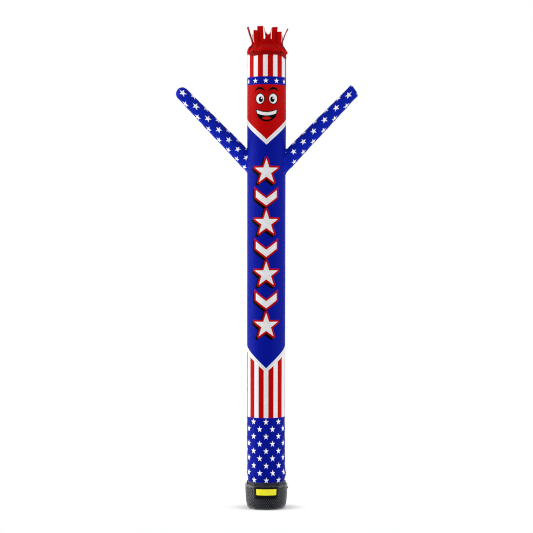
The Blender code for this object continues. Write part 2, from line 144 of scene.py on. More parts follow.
# ---- cap: (height, centre x, half width, half depth, left ear, right ear, fold) ----
CAP_ROWS = (
    (5.4950, 0.0040, 0.2384, 0.2384, 0.0, 0.0, 0.0),
    (5.5220, 0.0040, 0.2384, 0.2384, 0.0, 0.0, 0.0),
    (5.5340, 0.0050, 0.2372, 0.2360, 0.0030, 0.0220, 0.0030),
    (5.5520, 0.0050, 0.2300, 0.2350, 0.0115, 0.0180, 0.0070),
    (5.5800, 0.0075, 0.2260, 0.2160, 0.0040, 0.0060, 0.0130),
    (5.6060, 0.0090, 0.2140, 0.1740, 0.0, 0.0, 0.0140),
    (5.6260, 0.0095, 0.2010, 0.1240, 0.0, 0.0, 0.0080),
    (5.6400, 0.0115, 0.1900, 0.0790, 0.0, 0.0, 0.0030),
    (5.6540, 0.0115, 0.1900, 0.0700, 0.0, 0.0, 0.0030),
)
CAP_SIDES = 288
CAP_ROW = 0.0050
CAP_LOBES = ((6, 0.9, 0.55), (11, 2.3, 0.45))                      # (how many round, start, share)
CAP_GATHERS = ((17, 0.3, 0.35), (27, 1.7, 0.30), (41, 0.9, 0.20), (59, 2.0, 0.15))
# Where its lower edge hangs down or is drawn up: (turn, reach, drop)
CAP_HANGS = ((72, 0.34, 0.036), (318, 0.30, 0.011), (276, 0.36, -0.030), (98, 0.20, -0.012))
EAR_WIDE = 8.0                    # degrees
# The drawn hem's channel, the bulge over it, the creased cloth up to the vent: (height, reach)
CHANNEL_AT, BULGE_AT, CREASED_AT = (5.5340, 0.0070), (5.5620, 0.0180), (5.6000, 0.0420)
# Heights of the hem's pleats, of the upright folds and of the painted highlight on the ears: (height, reach)
PLEATS_AT, FOLDS_AT, EAR_HIGHLIGHT_AT = (5.5420, 0.0160), (5.6020, 0.0360), (5.5480, 0.0160)
PAINTED_HEM_SHADE = (5.5500, 5.5360)        # painted shade darkens the cap's hem band from here down
KNOTS = ((math.radians(317), 5.5440), (math.radians(47), 5.5400))      # (turn, height)
RING_ARC = 960
# Upright folds on the cap's front and, the other way round, on its back, also drawn as painted light and
# shade on their ridges and grooves: (x, half width, height)
CAP_FOLDS = (
    (-0.150, 0.012, -0.0060), (-0.118, 0.014, 0.0060), (-0.072, 0.012, -0.0050), (-0.030, 0.010, -0.0044),
    (0.020, 0.011, 0.0062), (0.056, 0.012, -0.0052), (0.098, 0.010, -0.0040), (0.140, 0.014, 0.0060),
    (0.176, 0.010, -0.0056),
)
# Painted shade where the cap's cloth lies in deep hollows: (x, height, half width, half height, share)
CAP_PAINTED_SHADE = (
    (-0.180, 5.6060, 0.020, 0.020, 0.62), (-0.158, 5.5400, 0.026, 0.014, 0.42),
    (0.214, 5.5930, 0.018, 0.022, 0.62), (0.170, 5.5260, 0.028, 0.012, 0.38),
    (0.196, 5.6150, 0.014, 0.014, 0.40), (-0.128, 5.5250, 0.020, 0.012, 0.25),
    (0.130, 5.5180, 0.024, 0.010, 0.22), (0.020, 5.5300, 0.050, 0.010, 0.10),
)

# ---- strips: (first of 48 ring steps, steps wide, length, lean, sway, twist, curl, notch, brightness with painted shade, darkest on the two side strips seen edge-on) ----
RING_STEPS = 48
STRIPS = (
    (-1.2, 3.4, 0.143, 5.0, 0.5, 4.0, 0.010, 0.052, 0.94),
    (3.0, 3.6, 0.196, 4.0, 1.0, -6.0, -0.004, 0.003, 0.98),
    (6.9, 3.0, 0.142, 7.0, -3.0, 8.0, 0.008, 0.002, 1.00),
    (11.0, 3.0, 0.203, 22.0, -1.0, -3.0, -0.002, 0.004, 0.60),
    (14.9, 3.0, 0.150, 8.0, -2.0, 14.0, 0.012, 0.0, 0.90),
    (18.2, 2.4, 0.188, 4.0, -1.5, 12.0, -0.004, 0.0, 1.00),
    (22.6, 2.8, 0.090, 3.0, 0.0, 5.0, 0.004, 0.0, 0.94),
    (26.9, 2.6, 0.186, 5.0, -0.5, -10.0, 0.004, 0.0, 1.00),
    (29.9, 3.0, 0.154, 9.0, -1.0, -12.0, 0.012, 0.0, 0.92),
    (35.0, 3.0, 0.212, 19.0, 1.0, -3.0, -0.002, 0.004, 0.48),
    (38.9, 3.0, 0.160, 7.0, 0.5, -10.0, 0.010, -0.003, 1.02),
    (41.6, 3.8, 0.209, 4.0, -0.8, 3.0, -0.004, -0.001, 0.98),
    (37.8, 0.5, 0.112, 5.0, -3.0, 30.0, 0.003, 0.0, 0.80),
    (10.4, 0.5, 0.106, 9.0, 5.0, -30.0, 0.003, 0.0, 0.80),
    (-0.7, 0.3, 0.196, 4.0, -9.0, 8.0, 0.004, 0.0, 0.90),
    (1.3, 0.3, 0.178, 4.0, 8.0, -8.0, 0.004, 0.0, 0.90),
)
STRIP_LOW = 5.6410
STRIP_FOOT = 5.6540
STRIP_INSET = 0.0030
STRIP_HALF_WIDE = 0.0300
STRIP_THICK = 0.0010
STRIP_ROWS = 18
STRIP_ACROSS = 8

# ---- band under the strips, left uncut: (first ring step, last ring step, height) ----
UNCUT = ((39.0, 58.0, 5.7060), (57.5, 64.5, 5.6740), (64.0, 80.0, 5.6980), (79.5, 87.5, 5.6740))
BAND_HEM = 0.0180                 # how far the band runs down over the cap
BAND_SUNK = (0.0050, 0.0015)      # how far its lowest two rows sink into the cap
BAND_DOWN = 5                     # rows below the vent
BAND_UP = 6                       # rows above it
BAND_ACROSS = 80

# ---- strap ----
STRAP_THICK = 0.0020
STRAP_ROWS = 9
STRAP_MEAN = 0.226                # radius where its ribs are counted
STRAP_RIB = 0.002

# ---- blower's outer side, from the foot to the deck's edge: (height, radius) ----
DRUM_SIDE = ((0.0180, 0.2270), (0.0400, 0.2350), (0.0750, 0.2425), (0.1100, 0.2465), (0.2100, 0.2532),
             (0.2500, 0.2560), (0.2790, 0.2576))
DRUM_ARC = 400                    # points down the side for even spacing
DRUM_SIDES = 128
LATTICE_IN = 0.9972               # share of the drum's radius where the lattice's bars lie
LINER_STEP = 40                   # the lining takes one of so many points down the side
LINER_IN = (0.0075, 0.0090)       # how far its outer and its inner face lie inside the drum's side
# Its rim and its foot, turned: (radius, height)
DRUM_RIM = (
    (0.2185, 0.2925), (0.2185, 0.2965), (0.2480, 0.2965), (0.2505, 0.2962), (0.2532, 0.2950),
    (0.2555, 0.2930), (0.2572, 0.2900), (0.2580, 0.2865), (0.2580, 0.2800), (0.2576, 0.2770),
    (0.2500, 0.2770), (0.2480, 0.2925),
)
DRUM_FOOT = (
    (0.2275, 0.0205), (0.2268, 0.0180), (0.2245, 0.0140), (0.2200, 0.0090), (0.2130, 0.0050),
    (0.2040, 0.0020), (0.1960, 0.0005), (0.1880, 0.0), (0.0, 0.0), (0.0, 0.0300), (0.2200, 0.0300),
    (0.2200, 0.0205),
)
GRAIN = 0.003
CORNER = 0.008                    # radius of the labels' corners

# ---- stage ----
FLOOR_REACH = 1.5
LIGHT_UP = 4.0                    # degrees above level
LIGHT_SPREAD = 45.0
CAMERA_ASIDE = 0.0024             # the camera stands this far to the right of the middle
VIEW_SHIFT = -0.0366              # and its view is shifted down by this share of its width


# ---- settings ----
class ClothSettings(bpy.types.PropertyGroup):
    thickness: FloatProperty(name="Thickness", description="Cloth as drawn", default=0.0012, unit="LENGTH")
    gather: FloatProperty(name="Gather", description="Depth of the gathers at the foot", default=0.0036,
                          unit="LENGTH")
    crumple: FloatProperty(name="Crumple", description="Depth of the loose waves in the cloth",
                           default=0.0009, unit="LENGTH")
    rumple: FloatProperty(name="Rumple", description="Depth of the small dents in the sleeves and the foot",
                          default=0.0042, unit="LENGTH")
    ripstop: FloatProperty(name="Ripstop", description="Spacing of the nylon's thick threads",
                           default=0.0060, unit="LENGTH")
    red: FloatVectorProperty(name="Red", description="Red nylon and red ink", subtype="COLOR",
                             default=linear("#b00101"))
    blue: FloatVectorProperty(name="Blue", description="Blue ink", subtype="COLOR", default=linear("#02128e"))
    # The sleeves' blue is the tube's blue ink drawn lighter: painted light
    sleeve_blue_painted_light: FloatVectorProperty(name="Sleeve blue", description="Blue ink of the sleeves",
                                     subtype="COLOR", default=linear("#0a1fa6"))
    white: FloatVectorProperty(name="White", description="Undyed nylon", subtype="COLOR",
                               default=linear("#e2e2e4"))
    star_white: FloatVectorProperty(name="Star white", description="White of the small stars",
                                    subtype="COLOR", default=linear("#fafafc"))
    black: FloatVectorProperty(name="Black", description="Black ink", subtype="COLOR",
                               default=linear("#08080a"))


class PrintSettings(bpy.types.PropertyGroup):
    stripes: IntProperty(name="Stripes", description="Red and white stripes round the tube", default=22)
    base_columns: IntProperty(name="Base columns", description="Stars in one row round the foot", default=8)
    base_pitch: FloatProperty(name="Base pitch", description="Height between rows of stars at the foot",
                              default=0.0881, unit="LENGTH")
    base_star: FloatProperty(name="Base star", description="Reach of a star at the foot", default=0.0400,
                             unit="LENGTH")
    band_columns: IntProperty(name="Band columns", description="Stars round the band", default=11)
    band_star: FloatProperty(name="Band star", description="Reach of a star on the band", default=0.0340,
                             unit="LENGTH")
    emblem_star: FloatProperty(name="Large star", description="Reach of the large stars on the front",
                               default=0.1560, unit="LENGTH")
    emblem_pitch: FloatProperty(name="Large pitch", description="Height between the large stars",
                                default=0.6200, unit="LENGTH")
    outline: FloatProperty(name="Outline", description="Width of the red outline and of the black shadow",
                           default=0.0220, unit="LENGTH")


class BlowerSettings(bpy.types.PropertyGroup):
    columns: IntProperty(name="Columns", description="Diamond openings round the drum", default=58)
    row: FloatProperty(name="Row", description="Slant height between rows of openings", default=0.0184,
                       unit="LENGTH")
    bar: FloatProperty(name="Bar", description="Width of the lattice's bars", default=0.0052, unit="LENGTH")
    depth: FloatProperty(name="Depth", description="Depth of the lattice's bars", default=0.0050,
                         unit="LENGTH")
    plastic: FloatVectorProperty(name="Plastic", description="Moulded black plastic", subtype="COLOR",
                                 default=linear("#34363b"))


class StageSettings(bpy.types.PropertyGroup):
    distance: FloatProperty(name="Distance", description="Camera to the tube's axis", default=19.0,
                            unit="LENGTH")
    eye: FloatProperty(name="Eye", description="Height of the camera", default=3.1757, unit="LENGTH")
    frame_wide: FloatProperty(name="Frame", description="Width that the view takes in at the axis",
                              default=6.5026, unit="LENGTH")
    left_light: FloatProperty(name="Left light", description="Strength of the left light", default=2.6)
    right_light: FloatProperty(name="Right light", description="Strength of the right light", default=0.95)
    room_light: FloatProperty(name="Room light", description="Strength of the light from all round",
                              default=1.08)
    reflected_room: FloatProperty(name="Reflected room", description="Strength of the room in reflections",
                                  default=0.06)
    backdrop: FloatProperty(name="Backdrop", description="Strength of the backdrop as the camera sees it",
                            default=1.0)


# ---- mesh helpers ----
def smooth_between(rows, place):
    """Values of a list of rows at a place, along a smooth curve through them."""
    last = len(rows) - 1
    k = next((i for i in range(last) if place <= rows[i + 1][0]), last - 1)
    low, high = rows[k], rows[k + 1]
    span = high[0] - low[0]
    share = min(max((place - low[0]) / span, 0.0), 1.0)
    before, after = rows[max(k - 1, 0)], rows[min(k + 2, last)]
    made = []
    for i in range(1, len(low)):
        rise = (high[i] - low[i]) / span
        slopes = []
        for a, b, c in ((before, low, high), (low, high, after)):
            first = (b[i] - a[i]) / (b[0] - a[0]) if b[0] > a[0] else rise
            second = (c[i] - b[i]) / (c[0] - b[0]) if c[0] > b[0] else rise
            slopes.append(2.0 * first * second / (first + second) if first * second > 0.0 else 0.0)
        s2, s3 = share * share, share ** 3
        made.append(low[i] * (2 * s3 - 3 * s2 + 1) + high[i] * (3 * s2 - 2 * s3)
                    + span * (slopes[0] * (s3 - 2 * s2 + share) + slopes[1] * (s3 - s2)))
    return made


def bump_at(value, middle, wide):
    """A soft hump, 1 at its middle and near 0 beyond its width."""
    return math.exp(-((value - middle) / wide) ** 2)


def ramp(value, start, end):
    """0 before the start, 1 past the end and an even rise between them."""
    return min(1.0, max(0.0, (value - start) / (end - start)))


def waves(kinds, turn):
    """Waves round a ring, laid over one another. Each kind is (how many round, start, share)."""
    return sum(share * math.cos(count * turn + start) for count, start, share in kinds)


def turned(radius, turn, height):
    """A point at a turn from the front."""
    return Vector((radius * math.sin(turn), -radius * math.cos(turn), height))


def square_to(along):
    """The level direction square to another one, on its right."""
    return Vector((along.y, -along.x, 0.0))


def add_object(name, mesh, finish, smooth_angle=50.0):
    made = bpy.data.objects.new(name, mesh)
    bpy.context.scene.collection.objects.link(made)
    if finish:
        mesh.materials.append(finish)
    mesh.shade_smooth()
    mesh.set_sharp_from_angle(angle=math.radians(smooth_angle))
    return made


def skin(name, rows, prints, close_round=True, close_top=False):
    """A surface over rows of points, with a cloth map whose places match the points.

    Where the rows close round, each row of prints has one place more than its row of points.
    """
    wide = len(rows[0])
    points = [point for row in rows for point in row]
    faces = []
    places = []
    for j in range(len(rows) - 1):
        for i in range(wide if close_round else wide - 1):
            k = (i + 1) % wide
            faces.append((j * wide + i, j * wide + k, (j + 1) * wide + k, (j + 1) * wide + i))
            places += [prints[j][i], prints[j][i + 1], prints[j + 1][i + 1], prints[j + 1][i]]
    if close_top:
        last = len(rows) - 1
        faces.append(tuple(last * wide + i for i in range(wide)))
        places += prints[last][:wide]
    mesh = bpy.data.meshes.new(name)
    mesh.from_pydata(points, [], faces)
    layer = mesh.uv_layers.new(name=CLOTH_MAP)
    layer.uv.foreach_set("vector", [value for place in places for value in place])
    return mesh


def thicken(obj, thickness, offset=-1.0):
    solid = obj.modifiers.new("cloth", "SOLIDIFY")
    solid.thickness = thickness
    solid.offset = offset
    solid.use_even_offset = False
    return obj


def lace(bm, low, high, closed=True):
    """Faces between two rows of corners."""
    count = len(high)
    for i in range(count if closed else count - 1):
        j = (i + 1) % count
        bm.faces.new((low[i], low[j], high[j], high[i]))


def mesh_of(name, bm, face_out=True):
    """Turn built-up faces into a mesh."""
    if face_out:
        bmesh.ops.recalc_face_normals(bm, faces=bm.faces)
    mesh = bpy.data.meshes.new(name)
    bm.to_mesh(mesh)
    bm.free()
    return mesh


def bake_shape(obj):
    """Keep an object's evaluated mesh and drop its modifiers."""
    graph = bpy.context.evaluated_depsgraph_get()
    mesh = bpy.data.meshes.new_from_object(obj.evaluated_get(graph), depsgraph=graph)
    obj.modifiers.clear()
    obj.data = mesh
    return obj


def keep(obj, slot, *nodes):
    """Ride on the part's only body and stand for the frame's nodes, which it hides; the slot is not used."""
    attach(obj, BODY)
    if nodes:
        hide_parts(*nodes)
    return obj


# ---- material helpers ----
def add(tree, kind, *values, out=0, **settings):
    """Add a node, fill its inputs with values or links, and return one of its outputs.

    Values fill the inputs in turn, and a dict fills them by name. A kind in capitals is a maths
    operation.
    """
    if kind.isupper():
        kind, settings["operation"] = "ShaderNodeMath", kind
    made = tree.nodes.new(kind)
    for name, value in settings.items():
        setattr(made, name, value)
    for place, value in enumerate(values):
        for name, given in (value if isinstance(value, dict) else {place: value}).items():
            if isinstance(given, bpy.types.NodeSocket):
                tree.links.new(given, made.inputs[name])
            else:
                made.inputs[name].default_value = given
    return made.outputs[out] if made.outputs else None


def empty_material(name):
    made = bpy.data.materials.new(name)
    made.use_nodes = True
    made.node_tree.nodes.clear()
    return made


def overprint(tree, ground, inks):
    """Lay inks on a ground colour in order. Each is (where, colour)."""
    for where, colour in inks:
        ink = colour if isinstance(colour, bpy.types.NodeSocket) else (*colour, 1.0)
        under = ground if isinstance(ground, bpy.types.NodeSocket) else (*ground, 1.0)
        ground = add(tree, "ShaderNodeMix", {0: where, 6: under, 7: ink}, out=2, data_type="RGBA")
    return ground


def nylon_surface(tree, cloth, colour, cloudy=0.05):
    """Woven nylon taffeta: satin, with a fine ripstop grid and a slightly cloudy dye."""
    place = add(tree, "ShaderNodeTexCoord", out="Object")
    clouds = add(tree, "ShaderNodeTexNoise", {"Vector": place, "Scale": 1 / 0.030, "Detail": 3.0})
    dye = add(tree, "ShaderNodeMapRange", clouds, 0.3, 0.7, 1.0 - cloudy, 1.0 + cloudy)
    dyed = add(tree, VECTOR, {0: colour, "Scale": dye}, operation="SCALE")
    # Thick threads every ripstop spacing, one way and the other. Plain threads are too fine to show.
    threads = add(tree, VECTOR, {0: place, "Scale": math.tau / cloth.ripstop}, operation="SCALE")
    swings = add(tree, VECTOR, threads, operation="SINE")
    spread = add(tree, "ShaderNodeSeparateXYZ", swings)
    grid = add(tree, "MAXIMUM", spread, spread.node.outputs["Z"])
    crumple = add(tree, "ShaderNodeTexNoise", {"Vector": place, "Scale": 1 / 0.070, "Detail": 4.0,
                                               "Roughness": 0.55})
    fine = add(tree, "ShaderNodeBump", {"Strength": 0.22, "Distance": 0.0004, "Height": grid})
    relief = add(tree, "ShaderNodeBump", {"Strength": 0.35, "Distance": 0.006, "Height": crumple,
                                          "Normal": fine})
    rough = add(tree, "ShaderNodeMapRange", crumple, 0.3, 0.7, 0.52, 0.62)
    shader = add(tree, "ShaderNodeBsdfPrincipled", {
        "Base Color": dyed, "Roughness": rough, "Normal": relief, "IOR": 1.53,
        "Specular IOR Level": 0.03, "Sheen Weight": 0.015, "Sheen Roughness": 0.35,
    })
    add(tree, "ShaderNodeOutputMaterial", {"Surface": shader})


def lit_red_nylon(name, cloth):
    """Plain red nylon, with light and shade painted into its colour as the mesh's attribute gives them."""
    finish = empty_material(name)
    # The painted light and shade, read from the mesh
    drawn = add(finish.node_tree, "ShaderNodeAttribute", out="Fac", attribute_name=PAINTED_LIGHT_ATTRIBUTE)
    red = add(finish.node_tree, VECTOR, {0: cloth.red, "Scale": drawn}, operation="SCALE")
    nylon_surface(finish.node_tree, cloth, red, cloudy=0.07)
    return finish


def star_edge(tree, across, up, reach):
    """How far a spot lies outside a five-pointed star with one point up."""
    turn = add(tree, "ARCTAN2", across, up)
    folded = add(tree, "PINGPONG", turn, math.radians(36))
    slanted = add(tree, "SUBTRACT", folded, math.radians(72))
    lean = add(tree, "COSINE", slanted)
    spot = add(tree, "ShaderNodeCombineXYZ", across, up)
    away = add(tree, VECTOR, spot, out="Value", operation="LENGTH")
    return add(tree, "MULTIPLY_ADD", away, lean, -reach * math.cos(math.radians(72)))


def star_field(tree, column_place, row_place, wide, tall, reach):
    """Where stars are, in rows that are staggered by half a column. Places count columns and rows."""
    row = add(tree, "ROUND", row_place)
    up = add(tree, "SUBTRACT", row_place, row)
    shifted = add(tree, "MULTIPLY_ADD", row, 0.5, column_place)
    column = add(tree, "ROUND", shifted)
    across = add(tree, "SUBTRACT", shifted, column)
    across = add(tree, "MULTIPLY", across, wide)
    up = add(tree, "MULTIPLY", up, tall)
    edge = star_edge(tree, across, up, reach)
    return add(tree, "LESS_THAN", edge, 0.0)


def inside_oval(tree, spot, centre, radii):
    """Where a spot lies inside an upright oval."""
    away = add(tree, VECTOR, spot, (*centre, 0.0), operation="SUBTRACT")
    share = add(tree, VECTOR, away, (*radii, 1.0), operation="DIVIDE")
    length = add(tree, VECTOR, share, out="Value", operation="LENGTH")
    return add(tree, "LESS_THAN", length, 1.0)


# ---- printed tube ----
def tube_gather(turn, height, cloth):
    """How far the tube's surface stands off its smooth profile."""
    rise = bump_at(height, *FOOT_AT) * waves(FOOT_GATHERS, turn)
    rise += 0.55 * bump_at(height, *TOP_AT) * waves(TOP_GATHERS, turn)
    rise *= cloth.gather
    spot = turned(1.0, turn, height)
    loose = noise.noise(Vector((spot.x * 2.2, spot.y * 2.2, height * 3.0)))
    # The cloth sags in short level folds just above the strap
    sag = bump_at(height, *SAG_AT) * noise.noise(Vector((spot.x * 1.6, spot.y * 1.6, height * 34.0)))
    # The starred foot is rumpled all over
    rumpled = cloth.rumple * noise.noise(Vector((spot.x * 5.0, spot.y * 5.0, height * 12.0)))
    rumpled *= ramp(height, *RUMPLED)
    creases = 0.0
    for middle, level, reach, depth, slant in FOOT_CREASES if CREASED[0] < height < CREASED[1] else ():
        away = math.remainder(turn - math.radians(middle), math.tau)
        above = (height - level - slant * away) / CREASE_TALL
        lip = 0.55 * math.exp(-(above - 1.7) ** 2) + 0.35 * math.exp(-(above + 1.7) ** 2)
        creases += depth * bump_at(away, 0.0, math.radians(reach)) * (lip - math.exp(-above * above))
    held = ramp(height, *HELD_LOW) * ramp(height, *HELD_TOP)
    return (rise + 3.0 * cloth.crumple * sag + cloth.crumple * loose + rumpled + creases) * held


def tube_spot(turn, height, cloth, lift=0.0):
    centre, radius = smooth_between(TUBE_ROWS, height)
    return turned(radius + tube_gather(turn, height, cloth) + lift, turn, height) + Vector((centre, 0.0, 0.0))


def tube_heights():
    made = [HEM_LOW]
    for top, step in TUBE_STEPS:
        low = made[-1]
        count = max(1, round((top - low) / step))
        made += [low + (top - low) * (i + 1) / count for i in range(count)]
    return made


def tube_print(tree, cloth, look):
    """The print, as a colour over the tube's turn and height."""
    places = add(tree, "ShaderNodeUVMap", uv_map=CLOTH_MAP)
    apart = add(tree, "ShaderNodeSeparateXYZ", places)
    turn, height = apart, apart.node.outputs["Y"]
    across = add(tree, "MULTIPLY", turn, TUBE_GIRTH)
    double = add(tree, "MULTIPLY", turn, 2 * math.tau)
    crowding = add(tree, "SINE", double)

    def above(side, tip):
        """Where the cloth is above a deep V that runs from its sides down to its tip."""
        edge = add(tree, "MULTIPLY_ADD", fall, tip - side, side)
        return add(tree, "GREATER_THAN", height, edge)

    def stripes(shift, half_wide, ease):
        """Where the white stripes are. They crowd towards the front and spread out at its sides."""
        even = add(tree, "MULTIPLY_ADD", turn, look.stripes / 2, shift)
        crowded = add(tree, "MULTIPLY_ADD", crowding, 0.093, even)
        eased = add(tree, "MULTIPLY_ADD", beside, ease, crowded)
        place = add(tree, "MULTIPLY_ADD", spread, -0.15, eased)
        part = add(tree, "PINGPONG", place, 0.5)
        return add(tree, "LESS_THAN", part, half_wide)

    def stars(columns, crowd, start, pitch, reach, shift=0.0):
        """Where stars are round the tube, in rows from a start height."""
        even = add(tree, "MULTIPLY_ADD", turn, columns, shift)
        column = add(tree, "MULTIPLY_ADD", crowding, crowd, even)
        row = add(tree, "MULTIPLY_ADD", height, 1 / pitch, -start / pitch)
        return star_field(tree, column, row, TUBE_GIRTH / columns, pitch, reach)

    # How deep a V's edge has fallen: all the way at the front and at the back, not at all at the sides
    aside = add(tree, "ABSOLUTE", turn)
    quarter = add(tree, "MULTIPLY_ADD", aside, -4.0, 1.0)
    straight = add(tree, "ABSOLUTE", quarter)
    fall = add(tree, "POWER", straight, V_CURVE)

    beside = add(tree, "MULTIPLY_ADD", aside, 360 / BESIDE_WIDE, -BESIDE_AT / BESIDE_WIDE)
    beside = add(tree, "MULTIPLY", beside, beside)
    beside = add(tree, "MULTIPLY", beside, -1.0)
    beside = add(tree, "EXPONENT", beside)
    hand = add(tree, "SIGN", turn)
    spread = add(tree, "MULTIPLY", beside, hand)
    white_stripes = overprint(tree, cloth.red, [(stripes(0.0, 0.234, -0.065), cloth.white)])
    hat_stripes = overprint(tree, cloth.red, [(stripes(0.122, 0.229, 0.0), cloth.white)])
    base_stars = stars(look.base_columns, 0.10, 1.0640, look.base_pitch, look.base_star)
    band_stars = stars(look.band_columns, 0.0, 5.1810, 0.2, look.band_star, 0.07)
    base = overprint(tree, cloth.blue, [(base_stars, cloth.star_white)])
    band = overprint(tree, cloth.blue, [(band_stars, cloth.star_white)])
    torso = emblem_print(tree, across, height, cloth, look)
    face = face_print(tree, across, height, cloth)
    plain_foot = add(tree, "LESS_THAN", height, PLAIN_FOOT)
    base = overprint(tree, base, [(plain_foot, cloth.blue)])
    seam = [c * 0.62 for c in cloth.white]
    zones = [(add(tree, "GREATER_THAN", height, STRIPES_FROM), white_stripes)]
    for edges, zone in ((LOWER_V, torso), (UPPER_V, face)):
        inks = (cloth.white, seam, cloth.white, zone)
        zones += [(above(*edge), ink) for edge, ink in zip(edges, inks)]
    zones.append((add(tree, "GREATER_THAN", height, BAND_FROM), band))
    zones.append((add(tree, "GREATER_THAN", height, HAT_FROM), hat_stripes))
    return overprint(tree, base, zones)


def emblem_print(tree, across, height, cloth, look):
    """Large stars and chevrons in turn down the front, with a red outline and a black shadow."""
    pitch = look.emblem_pitch
    middle = EMBLEM_TOP - 1.5 * pitch
    wide = look.emblem_star

    def edges(slip):
        """How far outside the nearest star or chevron a spot is, seen from a slipped place."""
        x = add(tree, "ADD", across, slip)
        row = add(tree, "MULTIPLY_ADD", height, 1 / pitch, (slip - EMBLEM_TOP) / pitch)
        nearest = add(tree, "ROUND", row)
        up = add(tree, "SUBTRACT", row, nearest)
        up = add(tree, "MULTIPLY", up, pitch)
        # The star's points are a little blunt
        star = star_edge(tree, x, up, wide)
        spot = add(tree, "ShaderNodeCombineXYZ", x, up)
        away = add(tree, VECTOR, spot, out="Value", operation="LENGTH")
        blunt = add(tree, "ADD", away, -wide)
        star = add(tree, "MAXIMUM", star, blunt)
        between = add(tree, "ADD", row, 0.5)
        lower = add(tree, "ROUND", between)
        rise = add(tree, "SUBTRACT", between, lower)
        aside = add(tree, "ABSOLUTE", x)
        slanted = add(tree, "MULTIPLY_ADD", aside, -CHEVRON_SLOPE / pitch, rise)
        slanted = add(tree, "ADD", slanted, CHEVRON_LOW / pitch)
        slanted = add(tree, "ABSOLUTE", slanted)
        bar = add(tree, "MULTIPLY_ADD", slanted, 0.8 * pitch, -CHEVRON_THICK)
        end = add(tree, "ADD", aside, -CHEVRON_WIDE)
        chevron = add(tree, "MAXIMUM", bar, end)
        # No chevron stands above the topmost star or below the lowest
        beyond = add(tree, "SUBTRACT", height, middle)
        beyond = add(tree, "ABSOLUTE", beyond)
        beyond = add(tree, "ADD", beyond, -1.5 * pitch)
        chevron = add(tree, "MAXIMUM", chevron, beyond)
        return add(tree, "MINIMUM", star, chevron)

    column = add(tree, "COMPARE", height, middle, 1.5 * pitch + 1.35 * wide)
    plain = edges(0.0)
    shadow = edges(1.1 * look.outline)
    inks = []
    # The white has a pale line a little way in from its edge
    for edge, width, ink in ((shadow, look.outline, cloth.black), (plain, look.outline, cloth.red),
                             (plain, 0.0, cloth.white), (plain, -0.016, [c * 0.78 for c in cloth.white]),
                             (plain, -0.020, cloth.white)):
        where = add(tree, "LESS_THAN", edge, width)
        inks.append((add(tree, "MULTIPLY", where, column), ink))
    return overprint(tree, cloth.blue, inks)


def face_print(tree, across, height, cloth):
    """A plain cheerful face: round eyes, short brows and an open smile."""
    aside = add(tree, "ABSOLUTE", across)
    mirrored = add(tree, "ShaderNodeCombineXYZ", aside, height)
    single = add(tree, "ShaderNodeCombineXYZ", across, height)
    black, white = cloth.black, cloth.white
    # Each brow is a short arc: what is left of one oval outside a lower one
    inks = [(inside_oval(tree, spot, centre, radii), ink) for spot, centre, radii, ink in (
        (mirrored, (0.084, 5.0500), (0.062, 0.056), black),
        (mirrored, (0.085, 5.0220), (0.067, 0.056), cloth.red),
        (mirrored, (0.080, 4.9640), (0.060, 0.070), black),
        (mirrored, (0.080, 4.9640), (0.049, 0.059), white),
        (mirrored, (0.070, 4.9560), (0.027, 0.034), black),
        (single, (-0.060, 4.9700), (0.009, 0.011), white),
        (single, (0.080, 4.9700), (0.009, 0.011), white),
    )]
    # The smile's upper lip sags in the middle, so its corners turn up
    sag = add(tree, "MULTIPLY", across, across)
    lip = add(tree, "MULTIPLY_ADD", sag, -2.0, height)
    for radii, level, ink in (((0.134, 0.146), 4.8120, black), ((0.123, 0.134), 4.8010, white),
                              ((0.123, 0.134), 4.7620, black)):
        oval = inside_oval(tree, mirrored, (0.0, 4.8340), radii)
        lower = add(tree, "LESS_THAN", lip, level)
        inks.append((add(tree, "MULTIPLY", oval, lower), ink))
    low_mouth = inside_oval(tree, mirrored, (0.0, 4.8340), (0.112, 0.124))
    tongue = inside_oval(tree, mirrored, (0.0, 4.7080), (0.062, 0.040))
    tongue = add(tree, "MULTIPLY", tongue, low_mouth)
    return overprint(tree, cloth.red, inks + [(tongue, linear("#c81014"))])


class AIRDANCER_OT_tube(bpy.types.Operator):
    """Build the printed tube, its back seam and the holes under its sleeves"""
    bl_idname = "airdancer.tube"
    bl_label = "Printed tube"

    def execute(self, context):
        cloth = context.scene.dancer_cloth
        heights = tube_heights()
        turns = [math.tau * (i / TUBE_SIDES - 0.5) for i in range(TUBE_SIDES)]
        rows = [[tube_spot(turn, height, cloth) for turn in turns] for height in heights]
        prints = [[(i / TUBE_SIDES - 0.5, height) for i in range(TUBE_SIDES + 1)] for height in heights]
        # Printed nylon taffeta, dyed through: a satin cloth with a soft broad shine
        finish = empty_material("printed_nylon_taffeta")
        tree = finish.node_tree
        nylon_surface(tree, cloth, tube_print(tree, cloth, context.scene.dancer_print))
        tube = thicken(add_object("tube_cloth", skin("tube_cloth", rows, prints), finish), cloth.thickness)
        for arm in (ARM_LEFT, ARM_RIGHT):
            cutter = sleeve_hole(arm)
            hole = tube.modifiers.new("hole", "BOOLEAN")
            hole.operation = "DIFFERENCE"
            hole.solver = "EXACT"
            hole.object = cutter
            bake_shape(tube)
            bpy.data.objects.remove(cutter, do_unlink=True)
        keep(tube, "tube_nylon", "body_tube")

        sewn = [height for height in heights if SEAM_HEIGHTS[0] <= height <= SEAM_HEIGHTS[1]]
        rows = [[tube_spot(math.pi + off / TUBE_MEAN, height, cloth, lift) for off, lift in SEAM_ROLL]
                for height in sewn]
        prints = [[(0.5 + off / TUBE_GIRTH, height) for off, _ in SEAM_ROLL] for height in sewn]
        seam = add_object("back_seam", skin("back_seam", rows, prints, close_round=False), finish)
        keep(thicken(seam, SEAM_THICK), "tube_nylon")
        return {"FINISHED"}


